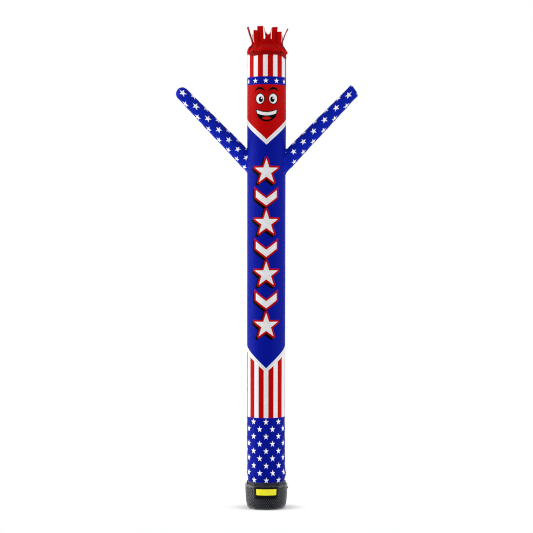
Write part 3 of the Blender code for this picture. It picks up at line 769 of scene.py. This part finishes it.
# ---- sleeves ----
def sleeve_frame(arm):
    """A sleeve's root, its direction, and its turns, each with the way out from its middle."""
    rise = math.radians(arm["rise"])
    axis = Vector((arm["side"] * math.cos(rise), 0.0, math.sin(rise)))
    front = Vector((0.0, -1.0, 0.0))
    over = front.cross(axis) * arm["side"]
    turns = [math.tau * i / ARM_SIDES for i in range(ARM_SIDES)]
    sides = [(turn, front * math.cos(turn) + over * math.sin(turn)) for turn in turns]
    return Vector(arm["root"]), axis, sides


def sleeve_start(line, axis):
    """How far along its own line a point of the sleeve's side meets the tube."""
    near, far = -0.30, 0.30
    for _ in range(24):
        middle = (near + far) / 2
        spot = line + axis * middle
        centre, side = smooth_between(TUBE_ROWS, spot.z)
        inside = math.hypot(spot.x - centre, spot.y) < side + 0.0004
        near, far = (middle, far) if inside else (near, middle)
    return far


def star_count(arm, along):
    """Stars passed by a place along the sleeve. Their spacing grows towards the tip."""
    first, growth = arm["pitch"]
    return math.log((first + growth * along) / (first + growth * arm["first_star"])) / growth


def sleeve_rows(arm):
    """Distances along the sleeve's middle, from the seam to the closed tip, and the tip's radii."""
    even = arm["reach"] - ARM_EVEN
    count = round(even / ARM_ROW)
    rows = [(along, None) for along in ARM_ROWS]
    rows += [(ARM_EVEN + even * i / count, None) for i in range(count + 1)]
    flat = arm["tip_radius"] - arm["corner"]
    for turn in range(12, 85, 12):
        bend = math.radians(turn)
        rows.append((arm["reach"] + arm["corner"] * math.sin(bend), flat + arm["corner"] * math.cos(bend)))
    for share in (0.75, 0.5, 0.25, 0.04):
        rows.append((arm["reach"] + arm["corner"] + arm["crown"] * (1.0 - share * share),
                     max(flat, 0.006) * share))
    return rows


def sleeve_surface(arm, cloth):
    """Rows of points from the seam on the tube to the tip, and their places in the print."""
    root, axis, sides = sleeve_frame(arm)
    starts = [sleeve_start(root + away * (ARM_TAPER[0][1] + FLARE), axis) for _, away in sides]
    rows, prints = [], []
    for along, given in sleeve_rows(arm):
        row, places = [], []
        fade = ramp(along, ROOT_FADE, 0.0) ** 2
        flare = FLARE * ramp(along, FLARE_LONG, 0.0) ** 2
        blown = arm["stout"] * ramp(along, 0.0, 0.10)
        cut = arm["slant"] * ramp(along, arm["reach"] - 0.04, arm["reach"])
        for (turn, away), start in zip(sides, starts):
            reach = along + start * fade
            radius = given if given is not None else smooth_between(ARM_TAPER, max(reach, 0.0))[0] + blown
            right, up = math.cos(turn), math.sin(turn)
            loose = Vector((right * 1.3, up * 1.3, reach * 7.0 + arm["side"] * 5))
            dents = 1.6 * cloth.crumple * noise.noise(loose)
            dents += cloth.rumple * noise.noise(Vector((right * 2.4, up * 2.4, reach * 17.0)))
            dents *= ramp(along, 0.0, 0.05)
            # A squarer tip is cut aslant, longer on its upper side
            aslant = cut * (1.0 + up) * radius
            row.append(root + away * (radius + flare + dents) + axis * (reach + aslant))
            places.append((turn / math.tau, star_count(arm, reach)))
        rows.append(row)
        prints.append(places + [(1.0, places[0][1])])
    return rows, prints


def sleeve_hole(arm):
    """A cutter for the tube, along the sleeve's inside."""
    root, axis, sides = sleeve_frame(arm)
    radius = ARM_TAPER[0][1] + FLARE * 0.4
    bm = bmesh.new()
    ends = [[bm.verts.new(root + away * radius + axis * along) for _, away in sides]
            for along in (-CUTTER_HALF, CUTTER_HALF)]
    lace(bm, *ends)
    for end in ends:
        bm.faces.new(end)
    cutter = add_object("hole", mesh_of("hole", bm), None)
    cutter.hide_render = True
    return cutter


def sleeve_print(tree, cloth):
    """White stars on blue, one point towards the tip, staggered round the sleeve."""
    places = add(tree, "ShaderNodeUVMap", uv_map=CLOTH_MAP)
    apart = add(tree, "ShaderNodeSeparateXYZ", places)
    column = add(tree, "MULTIPLY_ADD", apart, 3.0, -6.4 / 120.0)
    count = apart.node.outputs["Y"]
    row = add(tree, "MULTIPLY", count, 2.0)
    # The sleeve's girth shrinks against the stars' spacing towards the tip
    wide = add(tree, "MULTIPLY_ADD", count, -0.0195 * math.tau / 3, 0.60 * math.tau / 3)
    stars = star_field(tree, column, row, wide, 0.5, 0.245)
    # The right sleeve's root keeps a plain margin
    clear = add(tree, "GREATER_THAN", count, -0.75)
    stars = add(tree, "MULTIPLY", stars, clear)
    return overprint(tree, cloth.sleeve_blue_painted_light, [(stars, cloth.star_white)])


class AIRDANCER_OT_sleeves(bpy.types.Operator):
    """Build both sleeves and the seams at their roots"""
    bl_idname = "airdancer.sleeves"
    bl_label = "Sleeves"

    def execute(self, context):
        cloth = context.scene.dancer_cloth
        # The tube's own nylon, printed with stars
        finish = empty_material("starred_nylon_taffeta")
        nylon_surface(finish.node_tree, cloth, sleeve_print(finish.node_tree, cloth), cloudy=0.26)
        # The rolled seams show only the blue ground
        binding = empty_material("rolled_blue_seam")
        nylon_surface(binding.node_tree, cloth, cloth.sleeve_blue_painted_light)
        for arm in (ARM_LEFT, ARM_RIGHT):
            rows, prints = sleeve_surface(arm, cloth)
            name = f"sleeve_{arm['name']}"
            mesh = skin(name, rows, prints, close_top=True)
            if arm["side"] > 0:
                mesh.flip_normals()
            sleeve = thicken(add_object(name, mesh, finish), cloth.thickness)
            keep(sleeve, "sleeve_nylon", f"arm_{arm['name']}")
            seam = self.root_seam(arm, rows[0], binding)
        return {"FINISHED"}

    def root_seam(self, arm, ring, finish):
        """A rolled seam where the sleeve is sewn to the tube."""
        curve = bpy.data.curves.new(f"root_seam_{arm['name']}", "CURVE")
        curve.dimensions = "3D"
        curve.bevel_depth = ROOT_SEAM
        curve.bevel_resolution = 2
        line = curve.splines.new("POLY")
        line.points.add(len(ring) - 1)
        for point, spot in zip(line.points, ring):
            point.co = (*spot, 1.0)
        line.use_cyclic_u = True
        curve.materials.append(finish)
        seam = bpy.data.objects.new(curve.name, curve)
        bpy.context.scene.collection.objects.link(seam)
        return keep(seam, "sleeve_nylon")


# ---- cap ----
def cap_outline(row, angle):
    """A point of a cap's ring at a turn from the front, before the spacing is evened."""
    height, centre, half_wide, half_deep, ear_left, ear_right, fold = row
    side = math.sin(angle)
    ear = ear_right if side > 0 else ear_left
    from_side = math.degrees(math.acos(min(1.0, abs(side))))
    beak = ear * math.exp(-(from_side / EAR_WIDE) ** 2)
    lobes = fold * waves(CAP_LOBES, angle)
    # A valley just inside each side ridge, where the cloth is pinched
    pinch = fold * 2.1 * bump_at(from_side, 25.0 if side < 0 else 22.0, 6.5)
    # Two knots, where the drawn cloth is pulled in hardest
    for turn, level in KNOTS:
        pinch += 0.012 * bump_at(angle, turn, 0.075) * bump_at(height, level, 0.008)
    half_wide += lobes - pinch + beak
    half_deep += lobes - pinch
    return Vector((centre + half_wide * side, -half_deep * math.cos(angle), height))


def distances(points):
    """How far along a line each of its points is."""
    travelled = [0.0]
    for before, after in zip(points, points[1:]):
        travelled.append(travelled[-1] + (after - before).length)
    return travelled


def even_ring(row, count):
    """A cap's ring with its points the same distance apart."""
    dense = [cap_outline(row, math.tau * i / RING_ARC) for i in range(RING_ARC + 1)]
    travelled = distances(dense)
    ring, spot = [], 0
    for i in range(count):
        wanted = travelled[-1] * i / count
        while travelled[spot + 1] < wanted:
            spot += 1
        share = (wanted - travelled[spot]) / (travelled[spot + 1] - travelled[spot])
        ring.append(dense[spot].lerp(dense[spot + 1], share))
    return ring


def outwards_of(ring, i):
    """The way out of a closed ring of points, square to it and level."""
    return square_to(ring[(i + 1) % len(ring)] - ring[i - 1]).normalized()


def cap_relief(turn, height):
    """Small gathers and the channel of the drawn hem, on top of the cap's outline."""
    channel = -0.0060 * bump_at(height, *CHANNEL_AT)
    # The bulge over the channel, and creases that run slantwise up to the vent
    bulge = 0.0050 * bump_at(height, *BULGE_AT)
    slant = turn + 1.6 * (height - 5.58) * math.sin(2 * turn + 0.6)
    crumpled = noise.noise(Vector((math.sin(turn) * 9.0, math.cos(turn) * 9.0, height * 42.0)))
    creased = (0.0042 * waves(CAP_GATHERS, slant) + 0.0034 * crumpled) * bump_at(height, *CREASED_AT)
    pleats = 0.0022 * bump_at(height, *PLEATS_AT) * math.cos(63 * turn + 0.4)
    return channel + bulge + creased + pleats


def facing(spot):
    """A cap's point across its front. The back repeats the front the other way round."""
    return spot.x if spot.y < 0.0 else 0.010 - spot.x


def cap_fold(spot):
    """Height of the cap's upright folds at a point."""
    folds = sum(tall * bump_at(facing(spot), x, wide) for x, wide, tall in CAP_FOLDS)
    return folds * bump_at(spot.z, *FOLDS_AT)


def cap_painted_light(spot, turn):
    """Light and shade painted into the cap's colour: painted shade on its hem band and in its hollows,
    painted light and shade along its folds and a painted highlight on its ears.
    """
    hem = ramp(spot.z, *PAINTED_HEM_SHADE)
    ear = abs(math.sin(turn)) ** 10
    # Painted shade on the hem band under the bulge, weaker at the ears and uneven round the cap
    light = 1.0 - 0.40 * hem * (1.0 - 0.8 * ear) * (1.0 + 0.22 * math.cos(31 * turn + 0.4))
    # Painted shade in the hollows
    for x, height, wide, tall, share in CAP_PAINTED_SHADE:
        light *= 1.0 - share * bump_at(facing(spot), x, wide) * bump_at(spot.z, height, tall)
    # Painted light and shade along the upright folds, and a painted highlight on the ears
    return light * (1.0 + 16.0 * cap_fold(spot)) + 0.14 * ear * bump_at(spot.z, *EAR_HIGHLIGHT_AT)


class AIRDANCER_OT_cap(bpy.types.Operator):
    """Build the gathered cap with its two corners"""
    bl_idname = "airdancer.cap"
    bl_label = "Gathered cap"

    def execute(self, context):
        cloth = context.scene.dancer_cloth
        low, top = CAP_ROWS[0][0], CAP_ROWS[-1][0]
        count = round((top - low) / CAP_ROW)
        rows, prints, light = [], [], []
        for j in range(count + 1):
            height = low + (top - low) * j / count
            ring = even_ring([height] + smooth_between(CAP_ROWS, height), CAP_SIDES)
            loose = ramp(height, low + 0.045, low)
            row = []
            for i, spot in enumerate(ring):
                turn = math.tau * i / CAP_SIDES
                hang = sum(drop * bump_at(turn, math.radians(at), reach) for at, reach, drop in CAP_HANGS)
                lift = cap_relief(turn, height) + cap_fold(spot) + 0.2 * max(hang, 0.0) * loose
                light.append(cap_painted_light(spot, turn))
                row.append(spot + outwards_of(ring, i) * lift - Vector((0.0, 0.0, hang * loose)))
            rows.append(row)
            prints.append([(i / CAP_SIDES, height) for i in range(CAP_SIDES + 1)])
        mesh = skin("cap_cloth", rows, prints)
        mesh.attributes.new(PAINTED_LIGHT_ATTRIBUTE, "FLOAT", "POINT").data.foreach_set("value", light)
        # Plain red nylon, drawn into gathers. Painted shade darkens its hem band and hollows, and painted
        # light lies along its folds and on its ears
        finish = lit_red_nylon("gathered_red_nylon_painted_shade", cloth)
        cap = thicken(add_object("cap_cloth", mesh, finish), cloth.thickness)
        keep(cap, "cap_nylon", "head_cap")
        return {"FINISHED"}


# ---- strips ----
def neck(ring, step):
    """A point of the cap's vent, at a place counted in ring steps."""
    place = step * len(ring) / RING_STEPS
    low = math.floor(place)
    return ring[low % len(ring)].lerp(ring[(low + 1) % len(ring)], place - low)


def strip_spot(strip, ring, share, across):
    """A point of a strip at a share of its length and from -1 to 1 across it."""
    first, steps, length, lean, sway, twist, curl, notch, _ = strip
    ends = neck(ring, first), neck(ring, first + steps)
    base = neck(ring, first + steps * (across + 1) / 2)
    foot = (ends[0] + ends[1]) / 2
    along = (ends[1] - ends[0]).normalized()
    outwards = square_to(along)
    reach = length * share
    leaning = math.radians(lean)
    risen = Vector((0.0, 0.0, reach * math.cos(leaning)))
    risen += outwards * (reach * math.sin(leaning) + curl * math.sin(share * math.pi))
    risen += along * reach * math.tan(math.radians(sway))
    turn = math.radians(twist) * share ** 0.6
    wide = along * math.cos(turn) + outwards * math.sin(turn)
    cupped = 0.0035 * (1.0 - across * across) * math.sin(share * math.pi)
    flutter = 0.0022 * math.sin(share * 9.0 + first * 1.7) * share
    aside = wide * STRIP_HALF_WIDE * steps / 3 * across + square_to(wide) * (cupped + flutter)
    spot = (base + risen).lerp(foot + risen + aside, min(1.0, share * 4.0))
    # A strip's end is cut aslant, or to a deep notch where two strips part
    cut = abs(across - 0.05) - 1.0 if notch > 0.01 else across
    spot.z = foot.z + risen.z + notch * cut * share ** 6
    return spot


def band_spot(ring, step, j, top):
    """A point of the uncut band, in one of its rows. It bends from the cap's slope to upright."""
    above = max(0, j - BAND_DOWN) / BAND_UP
    rise = (top - STRIP_FOOT) * above if above else BAND_HEM * (j - BAND_DOWN) / BAND_DOWN
    bend = 0.10 * rise + 0.40 * (math.hypot(rise, 0.009) - rise) - (BAND_SUNK[j] if j < 2 else 0.0)
    creased = 0.0018 * math.sin(step * 2.1) * above
    ragged = 0.0010 * math.sin(step * 5.3) if above == 1 else 0.0
    outwards = square_to(neck(ring, step + 0.2) - neck(ring, step - 0.2)).normalized()
    spot = neck(ring, step) + outwards * (bend + creased - 0.0020)
    return (spot.x, spot.y, STRIP_FOOT + rise + ragged)


class AIRDANCER_OT_strips(bpy.types.Operator):
    """Build the loose strips on their binding inside the cap's vent"""
    bl_idname = "airdancer.strips"
    bl_label = "Loose strips"

    def execute(self, context):
        cloth = context.scene.dancer_cloth
        ring = even_ring(CAP_ROWS[-1], CAP_SIDES)
        for spot in ring:
            spot.z = STRIP_FOOT
        bm = bmesh.new()
        inner = [spot - outwards_of(ring, i) * STRIP_INSET for i, spot in enumerate(ring)]
        lace(bm, [bm.verts.new((p.x, p.y, STRIP_LOW)) for p in inner],
             [bm.verts.new((p.x, p.y, STRIP_FOOT)) for p in ring])
        # Painted shade on the binding inside the vent
        light = [0.94] * len(bm.verts)
        for strip in STRIPS:
            lines = [[bm.verts.new(strip_spot(strip, ring, j / STRIP_ROWS, 2.0 * i / STRIP_ACROSS - 1.0))
                      for i in range(STRIP_ACROSS + 1)] for j in range(STRIP_ROWS + 1)]
            # Each strip's brightness from its last column, with painted shade on the side strips
            light += [strip[-1]] * (len(bm.verts) - len(light))
            for low, high in zip(lines, lines[1:]):
                lace(bm, low, high, closed=False)
        for first, last, top in UNCUT:
            steps = [first + (last - first) * i / BAND_ACROSS for i in range(BAND_ACROSS + 1)]
            lines = [[bm.verts.new(band_spot(ring, step, j, top)) for step in steps]
                     for j in range(BAND_DOWN + BAND_UP + 1)]
            # Painted shade on the uncut band, darker overall and along the hollows of its creases
            light += [0.92 + 0.05 * math.sin(step * 2.1) for step in steps] * len(lines)
            for low, high in zip(lines, lines[1:]):
                lace(bm, low, high, closed=False)
        mesh = mesh_of("hair_strips", bm, face_out=False)
        mesh.attributes.new(PAINTED_LIGHT_ATTRIBUTE, "FLOAT", "POINT").data.foreach_set("value", light)
        # Thin red nylon tape, cut with a hot knife. Its colour carries painted shade, darkest on the two side
        # strips seen edge-on, and the other strips are set one by one a little darker or lighter
        finish = lit_red_nylon("cut_red_nylon_tape_painted_shade", cloth)
        strips = thicken(add_object("hair_strips", mesh, finish), STRIP_THICK)
        keep(strips, "strip_nylon", "head_hair")
        return {"FINISHED"}


# ---- strap and blower ----
def turned_mesh(name, profile, sides, closed):
    """Turn a profile of (radius, height) points about Z. A point on the axis closes it."""
    bm = bmesh.new()
    rings = []
    for radius, height in profile:
        turns = [math.tau * i / sides for i in range(sides if radius else 1)]
        rings.append([bm.verts.new(turned(radius, turn, height)) for turn in turns])
    for low, high in zip(rings, rings[1:] + rings[:1] if closed else rings[1:]):
        if len(low) == len(high) == sides:
            lace(bm, low, high)
        elif len(low) != len(high):
            point, ring = sorted((low, high), key=len)
            for i in range(sides):
                bm.faces.new((point[0], ring[i - 1], ring[i]))
    return mesh_of(name, bm)


class AIRDANCER_OT_strap(bpy.types.Operator):
    """Build the webbing strap that draws the hem tight"""
    bl_idname = "airdancer.strap"
    bl_label = "Strap"

    def execute(self, context):
        low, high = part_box("tie_strap")
        outer, wide = high.x, high.z - low.z
        inner = outer - STRAP_THICK
        profile = [(inner, high.z - 0.0006), (inner, low.z + 0.0006)]
        for i in range(STRAP_ROWS + 1):
            share = i / STRAP_ROWS
            swell = math.sin(share * math.pi) ** 0.25
            ribs = 0.0002 * math.cos(i * math.pi) - 0.0002
            profile.append((outer - STRAP_THICK * (1.0 - swell) * 0.7 + ribs, low.z + wide * share))
        # Woven polyester webbing: dull, with ribs across it every 2 mm
        finish = empty_material("black_polyester_webbing")
        tree = finish.node_tree
        place = add(tree, "ShaderNodeTexCoord", out="Object")
        apart = add(tree, "ShaderNodeSeparateXYZ", place)
        turn = add(tree, "ARCTAN2", apart, apart.node.outputs["Y"])
        rib = add(tree, "MULTIPLY", turn, math.tau * STRAP_MEAN / STRAP_RIB)
        rib = add(tree, "SINE", rib)
        relief = add(tree, "ShaderNodeBump", {"Strength": 0.5, "Distance": 0.0006, "Height": rib})
        # Painted shade: the webbing is drawn darker in the grooves between its ribs
        tone = add(tree, "ShaderNodeMapRange", rib, -1.0, 1.0, 0.010, 0.022)
        shader = add(tree, "ShaderNodeBsdfPrincipled", {
            "Base Color": tone, "Roughness": 0.72, "Normal": relief, "Sheen Weight": 0.2,
        })
        add(tree, "ShaderNodeOutputMaterial", {"Surface": shader})
        strap = add_object("strap_webbing", turned_mesh("strap_webbing", profile, TUBE_SIDES, True), finish)
        keep(strap, "strap_webbing", "tie_strap")
        return {"FINISHED"}


def side_line():
    """The drum's side as close points from its top to its foot, and how far along each is."""
    low, high = DRUM_SIDE[0][0], DRUM_SIDE[-1][0]
    heights = [high + (low - high) * i / DRUM_ARC for i in range(DRUM_ARC + 1)]
    dense = [Vector((smooth_between(DRUM_SIDE, height)[0], height)) for height in heights]
    return dense, distances(dense)


def moulded_plastic(name, tone, rough):
    """Injection-moulded plastic: a satin skin with a fine spark-eroded grain."""
    finish = empty_material(name)
    tree = finish.node_tree
    place = add(tree, "ShaderNodeTexCoord", out="Object")
    # The real grain is about 0.3 mm; it is drawn at 3 mm so that it shows at all
    grains = add(tree, "ShaderNodeTexNoise", {"Vector": place, "Scale": 1 / GRAIN, "Detail": 2.0})
    dust = add(tree, "ShaderNodeTexNoise", {"Vector": place, "Scale": 1 / 0.050, "Detail": 3.0})
    relief = add(tree, "ShaderNodeBump", {"Strength": 0.18, "Distance": 0.0008, "Height": grains})
    worn = add(tree, "ShaderNodeMapRange", dust, 0.35, 0.7, rough - 0.05, rough + 0.10)
    shade = add(tree, "ShaderNodeMapRange", dust, 0.35, 0.7, 0.85, 1.25)
    colour = add(tree, VECTOR, {0: tone, "Scale": shade}, operation="SCALE")
    shader = add(tree, "ShaderNodeBsdfPrincipled", {
        "Base Color": colour, "Roughness": worn, "Normal": relief, "IOR": 1.52,
    })
    add(tree, "ShaderNodeOutputMaterial", {"Surface": shader})
    return finish


class AIRDANCER_OT_blower(bpy.types.Operator):
    """Build the blower's drum with its diamond lattice"""
    bl_idname = "airdancer.blower"
    bl_label = "Blower"

    def execute(self, context):
        blower = context.scene.dancer_blower
        # Black ABS, satin where it was moulded against a grained tool
        plastic = moulded_plastic("moulded_black_abs", blower.plastic, 0.38)
        # The same ABS, drawn lighter grey on the lattice's bars: a painted highlight
        painted_highlight_abs = moulded_plastic("black_abs_painted_highlight", linear("#484a50"), 0.32)
        # The same ABS behind the lattice, drawn near-black: painted shade
        inside = moulded_plastic("black_abs_painted_shade", linear("#020203"), 0.90)
        dense, travelled = side_line()
        lattice = add_object("drum_lattice", self.lattice_mesh(blower, dense, travelled), painted_highlight_abs, 30.0)
        keep(thicken(lattice, blower.depth), "drum_plastic")
        rim = turned_mesh("drum_rim", DRUM_RIM, DRUM_SIDES, True)
        keep(add_object("drum_rim", rim, plastic, 30.0), "drum_plastic", "blower_drum")
        foot = turned_mesh("drum_foot", DRUM_FOOT, DRUM_SIDES, False)
        keep(add_object("drum_foot", foot, plastic, 30.0), "drum_plastic")
        # A lining behind the lattice. Its near-black colour is painted shade
        outer, inner = LINER_IN
        lining = [(r - outer, z) for r, z in dense[::LINER_STEP]]
        lining += [(r - inner, z) for r, z in dense[::-LINER_STEP]]
        liner = turned_mesh("drum_liner", lining, TUBE_SIDES, True)
        keep(add_object("drum_liner", liner, inside), "drum_plastic")
        return {"FINISHED"}

    def lattice_mesh(self, blower, dense, travelled):
        """Diamond cells over the drum's side, each opened up between its bars."""
        count = round(travelled[-1] / blower.row)
        bm = bmesh.new()
        rings, spot = [], 0
        for j in range(count + 1):
            wanted = travelled[-1] * j / count
            while spot < len(travelled) - 1 and travelled[spot] < wanted - 1e-9:
                spot += 1
            radius, height = dense[spot]
            turns = [math.tau * (i + (j % 2) / 2) / blower.columns for i in range(blower.columns)]
            rings.append([bm.verts.new(turned(radius * LATTICE_IN, turn, height)) for turn in turns])
        gap = math.tau * dense[0].x / blower.columns
        step = travelled[-1] / count
        clear = gap * step / math.hypot(gap / 2, step)
        share = 1.0 - blower.bar / clear
        for j in range(count + 1):
            for i in range(blower.columns):
                m = (i + j % 2) % blower.columns
                k = (i + 1) % blower.columns
                if j == 0:
                    bm.faces.new((rings[0][i], rings[1][m], rings[0][k]))
                elif j == count:
                    bm.faces.new((rings[j][k], rings[j - 1][m], rings[j][i]))
                else:
                    # The four bars round one opening
                    corners = (rings[j][i], rings[j + 1][m], rings[j][k], rings[j - 1][m])
                    centre = sum((corner.co for corner in corners), Vector()) / 4
                    lace(bm, corners, [bm.verts.new(centre.lerp(corner.co, share)) for corner in corners])
        return mesh_of("drum_lattice", bm)


class AIRDANCER_OT_fittings(bpy.types.Operator):
    """Finish the outlet collar, the hooks, the knob and the two blank labels"""
    bl_idname = "airdancer.fittings"
    bl_label = "Fittings and labels"

    def execute(self, context):
        self.film("panel_film", "label_panel", "label_backing", "black_vinyl_film", "#101014", 0.30,
                  37.5, 0.0003)
        self.film("plate_film", "label_plate", "label_plate", "yellow_vinyl_film", "#fff81c", 0.34,
                  28.0, 0.0015)
        # The collar is dull grey ABS. The pegs are nylon, which moulds blacker
        grey = moulded_plastic("moulded_grey_abs", linear("#4c4d51"), 0.40)
        black = moulded_plastic("moulded_black_nylon", linear("#0c0c0e"), 0.45)
        for name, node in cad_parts.items():
            if name == "outlet_collar" or name == "side_knob" or name.startswith("hook_"):
                node.data.materials.clear()
                node.data.materials.append(grey if name == "outlet_collar" else black)
        return {"FINISHED"}

    def film(self, name, node, slot, vinyl, code, rough, half_turn, lift):
        """A film with rounded corners, laid on the drum where the frame has it."""
        low, high = (corner.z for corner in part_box(node))
        bends = [math.radians(15 * i) for i in range(7)]
        even = [low + (high - low) * i / 12 for i in range(1, 12)]
        heights = [low + CORNER * (1.0 - math.cos(bend)) for bend in bends]
        heights += [height for height in even if CORNER < height - low < high - low - CORNER]
        heights += [high - CORNER * (1.0 - math.sin(bend)) for bend in bends]
        rows, prints = [], []
        for height in heights:
            radius = smooth_between(DRUM_SIDE, height)[0] + lift
            short = max(0.0, CORNER - min(height - low, high - height))
            inset = (CORNER - math.sqrt(max(0.0, CORNER ** 2 - short ** 2))) / radius
            reach = math.radians(half_turn) - inset
            turns = [reach * (i / 24 - 1.0) for i in range(49)]
            rows.append([turned(radius, turn, height) for turn in turns])
            prints.append([(turn, height) for turn in turns])
        finish = self.sticker(vinyl, code, rough)
        film = add_object(name, skin(name, rows, prints, close_round=False), finish)
        keep(thicken(film, 0.0009, 1.0), slot, node)

    def sticker(self, name, code, rough):
        """Cast vinyl film: an even colour and a smooth satin face, a little rippled by its roller."""
        finish = empty_material(name)
        tree = finish.node_tree
        place = add(tree, "ShaderNodeTexCoord", out="Object")
        ripple = add(tree, "ShaderNodeTexNoise", {"Vector": place, "Scale": 1 / 0.040, "Detail": 1.0})
        tone = add(tree, "ShaderNodeMapRange", ripple, 0.3, 0.7, 0.94, 1.02)
        colour = add(tree, VECTOR, {0: linear(code), "Scale": tone}, operation="SCALE")
        relief = add(tree, "ShaderNodeBump", {"Strength": 0.15, "Distance": 0.002, "Height": ripple})
        shader = add(tree, "ShaderNodeBsdfPrincipled", {
            "Base Color": colour, "Roughness": rough, "Normal": relief, "IOR": 1.54,
        })
        add(tree, "ShaderNodeOutputMaterial", {"Surface": shader})
        return finish


# ---- stage ----
class AIRDANCER_OT_stage(bpy.types.Operator):
    """Set up the floor, the lights and the camera"""
    bl_idname = "airdancer.stage"
    bl_label = "Stage"

    def execute(self, context):
        scene = context.scene
        stage = scene.dancer_stage
        scene.view_settings.view_transform = "Standard"
        scene.cycles.filter_width = 1.15
        # The lattice's holes are about a pixel wide, and prefiltered guides would smooth them away
        scene.cycles.denoising_prefilter = "NONE"
        world = bpy.data.worlds.new("studio")
        world.use_nodes = True
        tree = world.node_tree
        tree.nodes.clear()
        # The backdrop is white. The room is brightest level with the part and dim above
        # and below it, and its dark end, behind the camera, is what shows in reflections.
        place = add(tree, "ShaderNodeTexCoord", out="Generated")
        apart = add(tree, "ShaderNodeSeparateXYZ", place)
        steep = add(tree, "ABSOLUTE", apart.node.outputs["Z"])
        level = add(tree, "ShaderNodeMapRange", {0: steep, 3: stage.room_light, 4: 0.45 * stage.room_light})
        depth = apart.node.outputs["Y"]
        behind = add(tree, "ShaderNodeMapRange", depth, 0.0, 0.9, stage.reflected_room, 1.80)
        path = add(tree, "ShaderNodeLightPath", out="Is Camera Ray")
        glossy = path.node.outputs["Is Glossy Ray"]
        room = add(tree, "ShaderNodeMix", {0: glossy, 2: level, 3: behind})
        strength = add(tree, "ShaderNodeMix", {0: path, 2: room, 3: stage.backdrop})
        mixed = add(tree, "ShaderNodeBackground", {"Color": (1.0, 1.0, 1.0, 1.0), "Strength": strength})
        add(tree, "ShaderNodeOutputWorld", {"Surface": mixed})
        scene.world = world
        world.cycles.sampling_method = "NONE"

        floor_mesh = bpy.data.meshes.new("floor")
        corners = [(x * FLOOR_REACH, y * FLOOR_REACH, 0) for x, y in ((-1, -1), (1, -1), (1, 1), (-1, 1))]
        floor_mesh.from_pydata(corners, [], [(0, 1, 2, 3)])
        # A pale painted floor. Further out it is lit from below, so only the near shadow shows
        pale = empty_material("pale_floor")
        tree = pale.node_tree
        shader = add(tree, "ShaderNodeBsdfPrincipled", {"Base Color": (0.8, 0.8, 0.8, 1.0), "Roughness": 0.9})
        glow = add(tree, "ShaderNodeEmission", {"Strength": 0.6})
        place = add(tree, "ShaderNodeTexCoord", out="Object")
        shifted = add(tree, VECTOR, place, (0.0, 0.02, 0.0), operation="SUBTRACT")
        share = add(tree, VECTOR, shifted, (0.50, 0.30, 1.0), operation="DIVIDE")
        away = add(tree, VECTOR, share, out="Value", operation="LENGTH")
        fade = add(tree, "ShaderNodeMapRange", away, 0.55, 1.05, interpolation_type="SMOOTHSTEP")
        mixed = add(tree, "ShaderNodeMixShader", fade, shader, glow)
        add(tree, "ShaderNodeOutputMaterial", {"Surface": mixed})
        floor = add_object("floor", floor_mesh, pale)
        floor.is_shadow_catcher = True
        floor.visible_glossy = False

        up = math.radians(LIGHT_UP)
        for name, azimuth, energy in (("left_light", -95.0, stage.left_light),
                                      ("right_light", 86.0, stage.right_light)):
            lamp = bpy.data.lights.new(name, "SUN")
            lamp.energy = energy
            lamp.angle = math.radians(LIGHT_SPREAD)
            made = bpy.data.objects.new(name, lamp)
            scene.collection.objects.link(made)
            towards = turned(math.cos(up), math.radians(azimuth), math.sin(up))
            made.rotation_mode = "QUATERNION"
            made.rotation_quaternion = towards.to_track_quat("Z", "Y")

        lens = bpy.data.cameras.new("camera")
        camera = bpy.data.objects.new("camera", lens)
        scene.collection.objects.link(camera)
        camera.location = (CAMERA_ASIDE, -stage.distance, stage.eye)
        camera.rotation_euler = (math.radians(90), 0.0, 0.0)
        lens.sensor_width = 36.0
        lens.lens = lens.sensor_width * stage.distance / stage.frame_wide
        lens.shift_y = VIEW_SHIFT
        lens.clip_end = 200.0
        scene.camera = camera
        return {"FINISHED"}


OPERATORS = (
    AIRDANCER_OT_stage, AIRDANCER_OT_tube, AIRDANCER_OT_sleeves, AIRDANCER_OT_cap, AIRDANCER_OT_strips,
    AIRDANCER_OT_strap, AIRDANCER_OT_blower, AIRDANCER_OT_fittings,
)


class AIRDANCER_PT_sidebar(bpy.types.Panel):
    """Lists the dancer's pieces"""
    bl_idname = "AIRDANCER_PT_sidebar"
    bl_label = "Air dancer"
    bl_space_type = "VIEW_3D"
    bl_region_type = "UI"
    bl_category = "Air dancer"

    def draw(self, context):
        for operator in OPERATORS:
            self.layout.operator(operator.bl_idname)
        for name in SETTINGS:
            settings = getattr(context.scene, name)
            box = self.layout.box()
            for key in settings.bl_rna.properties.keys():
                if key not in ("rna_type", "name"):
                    box.prop(settings, key)


SETTINGS = {
    "dancer_cloth": ClothSettings, "dancer_print": PrintSettings,
    "dancer_blower": BlowerSettings, "dancer_stage": StageSettings,
}
CLASSES = (*SETTINGS.values(), *OPERATORS, AIRDANCER_PT_sidebar)


def register():
    for made in CLASSES:
        bpy.utils.register_class(made)
    for name, group in SETTINGS.items():
        setattr(bpy.types.Scene, name, PointerProperty(type=group))


def unregister():
    for name in SETTINGS:
        delattr(bpy.types.Scene, name)
    for made in reversed(CLASSES):
        bpy.utils.unregister_class(made)


def main():
    register()
    bpy.ops.airdancer.stage()
    bpy.ops.airdancer.tube()
    bpy.ops.airdancer.sleeves()
    bpy.ops.airdancer.cap()
    bpy.ops.airdancer.strips()
    bpy.ops.airdancer.strap()
    bpy.ops.airdancer.blower()
    bpy.ops.airdancer.fittings()


if __name__ == "__main__":
    main()
